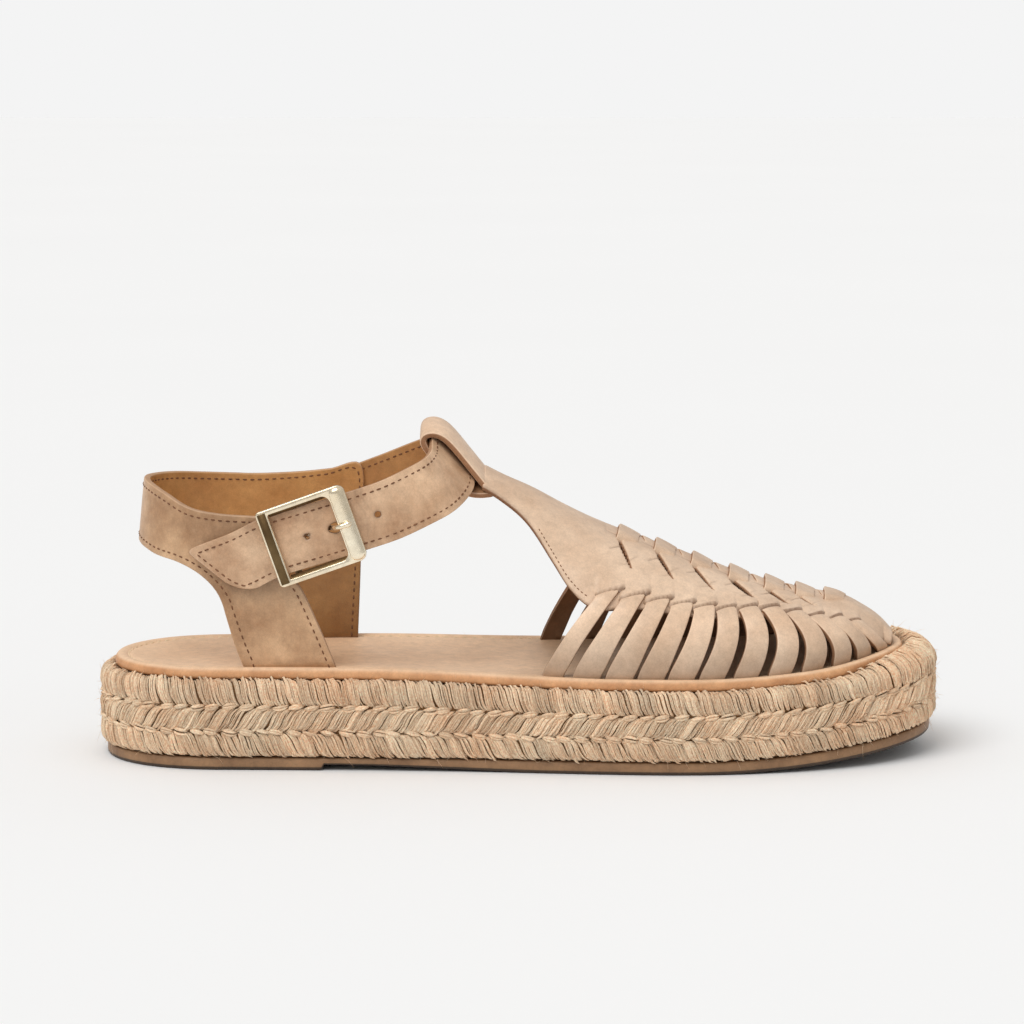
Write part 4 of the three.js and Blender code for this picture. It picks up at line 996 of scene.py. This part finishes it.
def crossing(index, lower):
    band = crossings[lower]
    width = band["width"] - band["narrowing"] * index
    reach = np.linspace(-band["span"], band["span"], 34)[:, None]
    share = lineSpots(width, 9, 0.7)[None, :]
    x = lengthwise(slitTopX(index)) + band["start"] + share * width + band["slant"] * reach
    girth = -slitTopGirth(index + band["between"]) * reach + 0.03 * (share - 0.5) * np.sign(reach)
    lift = band["lift"](reach) * upper["crossingLift"]
    rest = np.where(lift > 0, 1.15 - 0.75 * share, 1.0)
    points, _ = onLast(x, -girth, upper["leather"] * 0.6 + lift * rest)
    return leatherSheet(points[:, ::-1], upper["leather"] * 0.7, 0.35, crown=0.12)


bands = [crossing(index, False) for index in range(1, upper["crossings"] + 1)]
bands += [crossing(index, True) for index in range(1, upper["crossings"])]
addPiece("ridgeBands", joinMeshes(bands), upperLeather, "leather")


# Loop at the top of the T-bar

loop = {"half": 12.5, "length": 24, "opening": 6, "radius": 25, "drop": 3.3, "slope": math.radians(47), "neck": 0.456}
loopRows = [  # section of the loop: shares of its length and of its opening
    (-0.06, 0.6), (0.06, 0.48), (0.2, 0.5), (0.4, 0.56), (0.7, 0.64), (0.88, 0.6), (1.0, 0.38), (1.06, 0.0),
    (1.02, -0.32), (0.86, -0.46), (0.55, -0.48), (0.3, -0.48), (0.14, -0.4), (0.02, -0.02), (-0.08, 0.5),
]
neckPoint = lastPoint(lengthwise(loop["neck"]), 0)


def evenPlaces(curve, last, count):  # places on a curve at even distances from its start to its end
    places = np.linspace(0, last, 900)
    run = distances(curve(places))
    return np.interp(np.linspace(0, run[-1], count), run, places)


def loopPoint(along, up, y):
    sin, cos = np.sin(loop["slope"]), np.cos(loop["slope"])
    length, across = loop["length"] * along, loop["opening"] * up
    drop = loop["radius"] - np.sqrt(loop["radius"] ** 2 - (y - upper["lean"]) ** 2)
    return stacked(neckPoint[0] - length * cos + across * sin, y,
                   neckPoint[2] - loop["drop"] + length * sin + across * cos - drop)


def loopPart():
    size = [loop["length"], loop["opening"]]
    section = curveThrough(np.arange(len(loopRows)), np.array(loopRows) * size)
    profile = section(evenPlaces(section, len(loopRows) - 1, 90)) / size
    share = lineSpots(2 * loop["half"], 22, 0.6) * 2 - 1
    middle = loopPoint(profile[:, :1], profile[:, 1:], upper["lean"] + loop["half"] * share[::-1][None, :])
    # negative darken: the whole loop is painted lighter, a painted highlight on its upturned face
    return leatherSheet(middle, upper["leather"], 0.45, extra={"darken": -0.12})


addPiece("strapLoop", loopPart(), upperLeather, "leather")
print("vamp ready")


# Heel quarter; rows hold the turn and height of its low edge, then those of its top edge

quarter = {"thickness": 2.0, "collar": 55.6, "round": 35.3, "breadth": 57, "flare": 0.17, "lean": 0.1, "setback": 14}
outerRows = [
    (0.237, 0.626, 0.237, 0.985), (0.392, 0.6, 0.437, 0.946), (0.565, 0.575, 0.638, 0.879),
    (0.684, 0.532, 0.825, 0.854), (0.764, 0.478, 0.995, 0.845), (0.815, 0.42, 1.198, 0.824),
    (0.845, 0.36, 1.338, 0.568), (0.86, 0.31, 1.323, 0.514), (0.88, 0.24, 1.428, 0.453),
    (0.915, 0.12, 1.575, 0.248), (0.959, 0, 1.731, 0),
]
innerRows = [
    (0.237, 0.632, 0.237, 0.995), (0.392, 0.61, 0.437, 0.985), (0.586, 0.59, 0.638, 0.968), (0.728, 0.56, 0.83, 0.955),
    (0.845, 0.51, 0.98, 0.95), (0.93, 0.44, 1.331, 0.96), (0.985, 0.35, 1.603, 0.977), (1.03, 0.25, 1.889, 0.996),
    (1.06, 0.17, 1.886, 0.662), (1.085, 0.09, 1.875, 0.338), (1.105, 0, 1.855, 0),
]
heelBackX = heelTipX + quarter["setback"]


def quarterPoint(turn, height):  # turn is 0 at the back of the heel, negative on the outer side
    turn, height = np.broadcast_arrays(np.asarray(turn, float), np.asarray(height, float))
    side = np.where(turn < 0, -1, 1)
    angle = np.minimum(np.abs(turn), 1) * np.pi / 2
    forward = np.maximum(np.abs(turn) - 1, 0) * quarter["round"]
    x = (heelBackX + quarter["round"] * (1 - np.cos(angle)) + forward
         + quarter["lean"] * (height - 0.8) * quarter["collar"] * np.cos(angle))
    z = featherHeight(x) + height * quarter["collar"]
    flare = np.where(side < 0, quarter["flare"], 0)
    top = side * (quarter["breadth"] / 2 * np.sin(angle) + flare * forward)
    edge = np.where(side < 0, featherEdge(x, -1), featherEdge(x, 1))
    foot = np.where(np.abs(turn) > 0.5, edge, top)
    return np.stack([x, foot + (top - foot) * smoothStep(0, 0.6, height), z], axis=-1)


def quarterLines():  # rows around the heel from the outer foot to the inner one
    outer = [(-low, lowHeight, -top, topHeight) for low, lowHeight, top, topHeight in outerRows[::-1]]
    rows = np.array(outer + [(0, 0.649, 0, 1)] + innerRows)
    curve = curveThrough(np.arange(len(rows)), rows)
    middle = lambda places: quarterPoint(curve(places)[:, [0, 2]].mean(axis=1), curve(places)[:, [1, 3]].mean(axis=1))
    return curve(evenPlaces(middle, len(rows) - 1, 210))


quarterRun = quarterLines()


def quarterGrid(shares):  # points between the low edge at 0 and the top edge at 1
    low, lowHeight, top, topHeight = (quarterRun[:, k:k + 1] for k in range(4))
    return quarterPoint(low + (top - low) * shares, lowHeight + (topHeight - lowHeight) * shares)


def quarterPart():
    grid = quarterGrid(lineSpots(26, 20, 0.8)[::-1][None, :])
    height = (grid[..., 2] - featherHeight(grid[..., 0])) / quarter["collar"]
    outer = grid[..., 1] < 0
    # painted shade: on the outer face under the strap, at the foot and behind the buckle; on the lining lower down the
    # inner side and at the foot
    outside = 0.2 * bell(height - 0.46, 0.1) * outer + 0.2 * smoothStep(0.07, 0, height)
    outside = outside + 0.14 * bell(grid[..., 0] + 92, 13) * smoothStep(0.62, 0.8, height) * outer
    lining = 0.42 * smoothStep(0.82, 0.45, height) * (grid[..., 1] > 0) + 0.1 * smoothStep(0.1, 0, height)
    return leatherSheet(grid, quarter["thickness"], 0.5, extra={"darken": np.stack([outside, lining])})


def quarterSeams():  # one seam along each edge, on both faces
    fine = quarterGrid(np.linspace(0, 1, 9)[None, :])
    inset = seam["inset"] / distances(fine, 1)[:, -1:]
    normals = -gridNormals(fine)
    parts = []
    for share, normal, seed in ((inset, normals[:, 1], 11), (1 - inset, normals[:, -2], 12)):
        line = quarterGrid(share)[:, 0]
        for face in (1, -1):
            parts.append(stitchRun(line + face * normal * quarter["thickness"] / 2, face * normal, seam, seed))
    return joinMeshes(parts)


addPiece("heelQuarter", quarterPart(), linedLeather, "leather", "heel_quarter")
addPiece("quarterStitches", quarterSeams(), brownThread, "leather")
print("quarter ready")


# Buckle's place, and the ankle strap that passes under it

buckle = {
    "length": 28.2, "breadth": 24.2, "tilt": math.radians(19.4), "corner": 2.6, "thickness": 1.8, "side": 1.7,
    "front": 5.4, "keeper": 3.6, "bar": 1.1, "roll": 2.3, "rollWidth": 15, "rollGap": 1.15, "setback": 8,
    "turn": -1.533, "height": 0.755, "outTurn": -1.31,
}
strap = {"width": 18.6, "thickness": 1.8, "slant": 11, "lead": 8, "hole": 0.95, "inLoop": (0.58, 0.02),
         "sewnAt": (1.728, 0.788)}
rollW = -strap["thickness"] / 2 - sole["gap"] - buckle["roll"]
frameLow = strap["thickness"] / 2 + sole["gap"]
frameHigh = frameLow + buckle["thickness"]
buckleCentre = quarterPoint(buckle["turn"], buckle["height"])
buckleCentre[1] = quarterPoint(buckle["outTurn"], buckle["height"])[1] + rollW


def onBuckle(points):  # u forward along the strap, v up across it, w outward
    u, v, w = np.moveaxis(np.asarray(points, float), -1, 0)
    cos, sin = math.cos(buckle["tilt"]), math.sin(buckle["tilt"])
    return buckleCentre + np.stack([u * cos - v * sin, -w, u * sin + v * cos], axis=-1)


# Tail rows: turn, height, share of the way out to the buckle, lean in degrees. The runs from buckle to loop and
# from loop to quarter: shares of the way along, inward and up, and the lean.
tailRows = [(-0.793, 0.536, 0, 19.4), (-0.96, 0.607, 0.4, 19.4)]
outerRun = [(-0.32, 0, -0.24, 19.4), (0, 0, 0, 19.4), (0.334, 0, 0.245, 19.6), (0.563, 0.068, 0.42, 20.5),
            (0.773, 0.226, 0.632, 22.5), (0.9, 0.445, 0.768, 27), (0.969, 0.723, 0.885, 35)]
innerRun = [(0.07, 0.36, 0.12, 37), (0.243, 0.65, 0.28, 31), (0.486, 0.87, 0.52, 26), (0.743, 0.97, 0.76, 24),
            (1.0, 1, 1, 23), (1.18, 1, 1.13, 23)]
outsideQuarter = (0, 0.2, 1.3, 3.6, 5.0, 4.9)  # the sewn end passes outside the quarter
buckleRow = 4  # row of the route at the buckle's middle, counted with the tail and its lead


def strapEdges(points, leans):
    points = np.array(points)
    tangent = unit(np.concatenate([points[1:], points[-1:]]) - np.concatenate([points[:1], points[:-1]]))
    lean = np.radians(leans)
    up = stacked(-np.sin(lean), 0.0, np.cos(lean))
    up = unit(up - (up * tangent).sum(axis=1, keepdims=True) * tangent)
    return np.stack([points - up * strap["width"] / 2, points + up * strap["width"] / 2], axis=1)


def strapRoute():
    tail = []
    for turn, height, out, _ in tailRows:
        point = quarterPoint(turn, height)
        onQuarter = point[1] - (quarter["thickness"] + strap["thickness"]) / 2 - 2.5 * sole["gap"]
        point[1] = onQuarter + (buckleCentre[1] - onQuarter) * out
        tail.append(point)
    half = strap["width"] / 2 / loop["length"]
    along, up = strap["inLoop"]
    inLoop = loopPoint(along + np.array([[-half, half]]), up,
                       upper["lean"] + loop["half"] * np.array([-1.12, -0.56, 0, 0.56, 1.12])[:, None])
    sewn = quarterPoint(*strap["sewnAt"])
    sewn[1] -= (quarter["thickness"] + strap["thickness"]) / 2 + 1.5 * sole["gap"]
    between = lambda start, end, rows: [start + (end - start) * np.array(row[:3]) for row in rows]
    outer = strapEdges(tail + between(buckleCentre, inLoop[0].mean(axis=0), outerRun),
                       [row[3] for row in tailRows + outerRun])
    inner = strapEdges(between(inLoop[-1].mean(axis=0), sewn, innerRun), [row[3] for row in innerRun])
    inner[..., 1] += np.array(outsideQuarter)[:, None]
    route = np.concatenate([outer, inLoop, inner])
    lead = unit(route[0].mean(axis=0) - route[1].mean(axis=0)) * strap["lead"]
    return np.concatenate([route[:1] + lead, route])


route = strapRoute()
routeRun = distances(route.mean(axis=1))
routeCurve = curveThrough(routeRun, route)
buckleAt = routeRun[buckleRow]
strapHoles = [(-1.6, 1, 1), (7.6, 2.5, 1.62), (20.9, 1, 1)]  # place past the buckle, length and width in hole radii


def onStrap(along, across):  # across is 0 at the lower edge and 1 at the upper one
    edges = routeCurve(along)
    return edges[..., 0, :] + (edges[..., 1, :] - edges[..., 0, :]) * across[..., None]


def tipStart(across):  # where the slanted, rounded free end begins
    start = strap["lead"] + (0.5 - across) * strap["slant"]
    for distance, radius, pull in ((across * strap["width"], 6.5, 0.9), ((1 - across) * strap["width"], 2.0, 1.6)):
        into = np.clip(radius - distance, 0, radius)
        start = start + pull * (radius - np.sqrt(radius ** 2 - into ** 2))
    return start


def strapPart():
    fine = np.arange(buckleAt - 6, buckleAt + 26, 0.22)
    coarse = np.concatenate([np.linspace(0, fine[0], 40)[:-1], fine, np.linspace(fine[-1], routeRun[-1], 150)[1:]])
    across = lineSpots(strap["width"], 76, 0.7)[None, :]
    start = tipStart(across)
    along = start + (routeRun[-1] - start) * (coarse / routeRun[-1])[:, None]
    across = np.repeat(across, len(coarse), axis=0)
    gap = np.full(along.shape, farAway)
    inside = np.zeros(along.shape, bool)
    for u, long, wide in strapHoles:  # grid points near a hole's rim move onto it
        du, dv = along - buckleAt - u, (across - 0.5) * strap["width"]
        outward = np.hypot(du / (strap["hole"] * long), dv / (strap["hole"] * wide))
        distance = (outward - 1) * np.hypot(du, dv) / np.maximum(outward, 1e-3)
        near = np.abs(distance) < 0.15
        along[near] += (du / outward - du)[near]
        across[near] += ((dv / outward - dv) / strap["width"])[near]
        distance[near] = 0
        gap = np.minimum(gap, np.maximum(distance, 0))
        inside |= distance <= 0
    past = along - buckleAt
    tug = bell(past - 17.5, 2.6) * np.sin(past * 3.1 + 2.2 * np.sin(across * 9)) * (0.4 + 0.6 * across)
    relief = 0.13 * tug - 0.5 * bell(past + 11.5, 2.0) + 0.1 * np.sin(past * 0.35 + across * 3)
    # painted shade behind and just ahead of the buckle, in the tug wrinkles and round the holes; the negative part
    # further on is a painted highlight on the strap's top
    darken = 0.14 * bell(past + 16, 4.0) + 0.1 * bell(past - 16, 2.5) + 0.12 * np.clip(tug, 0, 1)
    darken = darken - 0.12 * bell(past - 40, 12.0) + 0.45 * np.exp(-gap / 0.3)
    return leatherSheet(onStrap(along, across), strap["thickness"], 0.45, ~cellsInside(inside), gap, relief=relief,
                        extra={"darken": darken})


def strapSeams():  # round the strap, a seam's inset from its edges, on both faces
    inset = seam["inset"] / strap["width"]
    across = inset + (1 - 2 * inset) * np.linspace(0, 1, 16)
    count, clear = 240, 2.0
    end, last = tipStart(across) + clear, routeRun[-1] - clear
    along = np.concatenate([np.linspace(end[0], last, count)[::-1], end[1:-1], np.linspace(end[-1], last, count),
                            np.full(len(across) - 2, last)])
    spots = np.concatenate([np.full(count, across[0]), across[1:-1], np.full(count, across[-1]), across[-2:0:-1]])
    line, edges = onStrap(along, spots), routeCurve(along)
    ahead = onStrap(along + 0.5, spots) - onStrap(along - 0.5, spots)
    normal = unit(np.cross(ahead, edges[:, 1] - edges[:, 0]))
    return joinMeshes([stitchRun(line + face * normal * strap["thickness"] / 2, face * normal, seam, 21)
                       for face in (1, -1)])


addPiece("ankleStrap", strapPart(), strapLeather, "leather", "ankle_strap")
addPiece("strapStitches", strapSeams(), brownThread, "leather")
print("strap ready")


# Buckle and prong

half, front = buckle["breadth"] / 2, buckle["length"] / 2
innerHalf = half - buckle["side"]
barStart = front - buckle["front"]
keeperEnd = -front + buckle["keeper"]


def roundedLoop(reach, back, ahead, corner, backCorner, steps=8):
    corners = [(ahead - corner, corner - reach, corner, -90), (ahead - corner, reach - corner, corner, 0),
               (back + backCorner, reach - backCorner, backCorner, 90),
               (back + backCorner, backCorner - reach, backCorner, 180)]
    points = []
    for u, v, radius, start in corners:
        angle = np.radians(start + np.linspace(0, 90, steps + 1))
        points.append(np.stack([u + radius * np.cos(angle), v + radius * np.sin(angle)], axis=1))
    return np.concatenate(points)


def framePart():  # ring plate with softened edges, between an outer and an inner rounded loop
    outer = roundedLoop(half, -front, front, buckle["corner"], 1.2)
    inner = roundedLoop(innerHalf, keeperEnd, barStart, buckle["corner"], 0.5)
    centre = (outer + inner) / 2
    soft = 0.35
    bevel = [(soft, frameLow), (soft * 0.3, frameLow + soft * 0.3), (0, frameLow + soft), (0, frameHigh - soft),
             (soft * 0.3, frameHigh - soft * 0.3), (soft, frameHigh)]
    levels = []
    for edge, rows in ((outer, bevel), (inner, bevel[::-1])):
        for reach, w in rows:
            plan = edge + unit(centre - edge) * reach
            levels.append(stacked(plan[:, 0], plan[:, 1], w))
    ids = numbered(len(levels), len(outer))
    faces = quadsOf(wrapped(np.concatenate([ids, ids[:1]])))[..., [0, 3, 2, 1]].reshape(-1, 4)
    return onBuckle(np.concatenate(levels)), faces, {}


def barPart(u, w, radius, flat, reach, ends, sides=20):  # bar across the strap with rounded ends
    run = reach - ends * (1 - np.linspace(0, 1, 7))
    v = np.concatenate([-run[::-1], run])
    grow = np.sqrt(np.maximum(1 - (np.maximum(np.abs(v) - (reach - ends), 0) / ends) ** 2, 0.02))
    angle = np.linspace(0, 2 * np.pi, sides, endpoint=False)
    ring = np.stack([radius * np.cos(angle), 0 * angle, radius * flat * np.sin(angle)], axis=1)
    points = stacked(u, v, w)[:, None] + ring[None] * grow[:, None, None]
    return onBuckle(points.reshape(-1, 3)), quadsOf(wrapped(numbered(len(v), sides))).reshape(-1, 4), {}


def sheetPart(grid, turn=1):  # open sheet on the buckle
    faces = quadsOf(numbered(*grid.shape[:2])).reshape(-1, 4)
    return onBuckle(grid.reshape(-1, 3)), faces[:, ::turn], {}


def keeperPart():  # what is drawn in dark brass as painted shade and a painted dark reflection: the keeper's face, inner walls, the middle bar and its lugs
    u = np.array([0.45 - front, 0.6 - front, keeperEnd - 0.6, keeperEnd - 0.45])
    v = np.array([0.7 - half, 0.9 - half, half - 0.9, half - 0.7])
    w = frameHigh + np.array([-0.1, 0.14, 0.14, -0.1])
    face = stacked(u[:, None], v[None, :], w[:, None])
    face[:, [0, -1], 2] = w[0]
    parts = [sheetPart(face), barPart(-buckle["setback"], rollW, buckle["bar"], 1.0, half - 0.9, 0.5)]
    for side in (-1, 1):
        lug = [(-buckle["setback"], side * (half - inset), out)
               for inset, out in ((0.95, rollW), (0.9, 0.2), (0.85, frameLow + 0.4))]
        parts.append(plainTubes([onBuckle(lug)], 0.8, 10, up=(1, 0, 0)))
    u = np.linspace(keeperEnd + 0.3, barStart - 0.9, 12)
    w = frameLow + np.array([1.0, 0.75, -0.1]) * buckle["thickness"]
    for side in (-1, 1):
        v = side * (innerHalf + np.array([0.2, -0.5, -1.0]))
        parts.append(sheetPart(stacked(u[:, None], v[None, :], w[None, :]), -side))
    return joinMeshes(parts)


prongRows = [(0.079, 0.042), (0.443, 0.121), (0.601, 0.212), (0.69, 0.436), (0.739, 0.776), (0.803, 0.97),
             (0.887, 1.018), (1, 1.006)]  # shares of the reach forward and of the rise
prong = {"radius": 0.8, "above": 1.05, "tip": (0.92, 0.96, 0.8, 0.4), "eye": 2.0, "wire": 0.7}


def prongPart():
    reach = buckle["setback"] + front - buckle["front"] / 6 - 0.1
    rise = frameLow + buckle["thickness"] * 1.5 + prong["above"] - rollW
    line = curveThrough(np.arange(len(prongRows)),
                        [(u * reach - buckle["setback"], 0, rollW + w * rise) for u, w in prongRows])
    path = line(evenPlaces(line, len(prongRows) - 1, 40))
    radius = np.full(40, prong["radius"])
    radius[-4:] = prong["tip"]
    outward, upward = (onBuckle([axis])[0] - buckleCentre for axis in ((0, 0, 1), (0, 1, 0)))
    angle = np.linspace(0, 2 * np.pi, 28, endpoint=False)
    eye = stacked(-buckle["setback"] + prong["eye"] * np.cos(angle), 0.0, rollW + prong["eye"] * np.sin(angle))
    return joinMeshes([plainTubes([onBuckle(path)], radius, 14, flat=0.85, up=outward),
                       plainTubes([onBuckle(eye)], prong["wire"], 12, up=upward, closed=True)])


def tabRoll():  # the quarter's outer end, rolled round the middle bar on both sides of the prong
    parts = []
    radius = buckle["roll"] - np.array([0.3, 0.05, 0, 0, 0.05, 0.3])
    for side in (-1, 1):
        v = side * np.linspace(buckle["rollGap"], buckle["rollWidth"] / 2, 6)
        path = stacked(-buckle["setback"], v, rollW)
        points, faces, _ = plainTubes([onBuckle(path)], radius, 20, up=(1, 0, 0))
        parts.append((points, faces, {"rawEdge": np.zeros(len(points)), "inside": np.zeros(len(points))}))
    return joinMeshes(parts)


frontBar = barPart(front - buckle["front"] / 2, frameLow + buckle["thickness"] * 0.55, buckle["front"] / 2 * 0.98,
                   buckle["thickness"] / buckle["front"] * 1.9, half - 0.15, 2.2)
addPiece("buckleFrame", joinMeshes([framePart(), frontBar]), paleBrass, "brass", "buckle_frame")
addPiece("keeperFace", keeperPart(), brassPaintedShade, "brass")
addPiece("buckleProng", prongPart(), paleBrass, "brass", "buckle_prong")
addPiece("tabRoll", tabRoll(), linedLeather, "leather")
print("buckle ready")


# Stage, camera and light

studio = {
    "floor": 6000, "low": 0.42, "high": 0.7, "tone": (244, 244, 244), "lens": 129.4,
    "camera": (-2.2, -1138.81, 234.65), "target": (-2.2, 0, 74.604),
    "sun": (-0.42, -0.62, 0.9), "sunAngle": 40, "sunPower": 1.52, "sunColour": (1.0, 0.995, 0.985),
}


def floorMaterial():
    material, tree = newMaterial("studioFloor")
    cloud = noiseValue(tree, objectPlace(tree), 3.0, 2.0)
    colour = mixColour(tree, cloud, rgb(243, 244, 245), rgb(245, 246, 247))
    finishMaterial(tree, colour, 0.85, {"Specular IOR Level": 0.15})
    return material


def buildWorld():  # pale studio, brighter above; the camera sees one even tone
    world = bpy.data.worlds.new("studio")
    bpy.context.scene.world = world
    world.use_nodes = True
    tree = world.node_tree
    tree.nodes.clear()
    direction = addNode(tree, "TexCoord").outputs["Generated"]
    upward = addNode(tree, "SeparateXYZ", {"Vector": direction}).outputs["Z"]
    strength = mapRange(tree, upward, -0.2, 0.9, studio["low"], studio["high"], interpolation_type="SMOOTHSTEP")
    lighting = addNode(tree, "Background", {"Color": (1.0, 0.985, 0.965, 1), "Strength": strength})
    seen = addNode(tree, "Background", {"Color": rgb(*studio["tone"]), "Strength": 1.0})
    fromCamera = addNode(tree, "LightPath").outputs["Is Camera Ray"]
    choice = addNode(tree, "MixShader", {0: fromCamera, 1: lighting.outputs[0], 2: seen.outputs[0]})
    tree.links.new(choice.outputs[0], addNode(tree, "OutputWorld").inputs[0])


def aim(thing, location, direction):
    thing.location = location
    thing.rotation_euler = direction.to_track_quat("-Z", "Y").to_euler()
    bpy.context.scene.collection.objects.link(thing)


size = studio["floor"]
corners = [(-size, -size, 0), (size, -size, 0), (size, size, 0), (-size, size, 0)]
floor = makePiece("floor", (corners, [[0, 1, 2, 3]], {}), floorMaterial())
buildWorld()

sun = bpy.data.lights.new("softKey", "SUN")
sun.angle, sun.energy, sun.color = math.radians(studio["sunAngle"]), studio["sunPower"], studio["sunColour"]
aim(bpy.data.objects.new("softKey", sun), (0, 0, 0), -Vector(studio["sun"]))

lens = bpy.data.cameras.new("camera")
lens.sensor_width, lens.lens, lens.clip_end = 36, studio["lens"], 50
camera = bpy.data.objects.new("camera", lens)
aim(camera, Vector(studio["camera"]) * mm, (Vector(studio["target"]) - Vector(studio["camera"])) * mm)
bpy.context.scene.camera = camera
bpy.context.scene.view_settings.view_transform = "Standard"
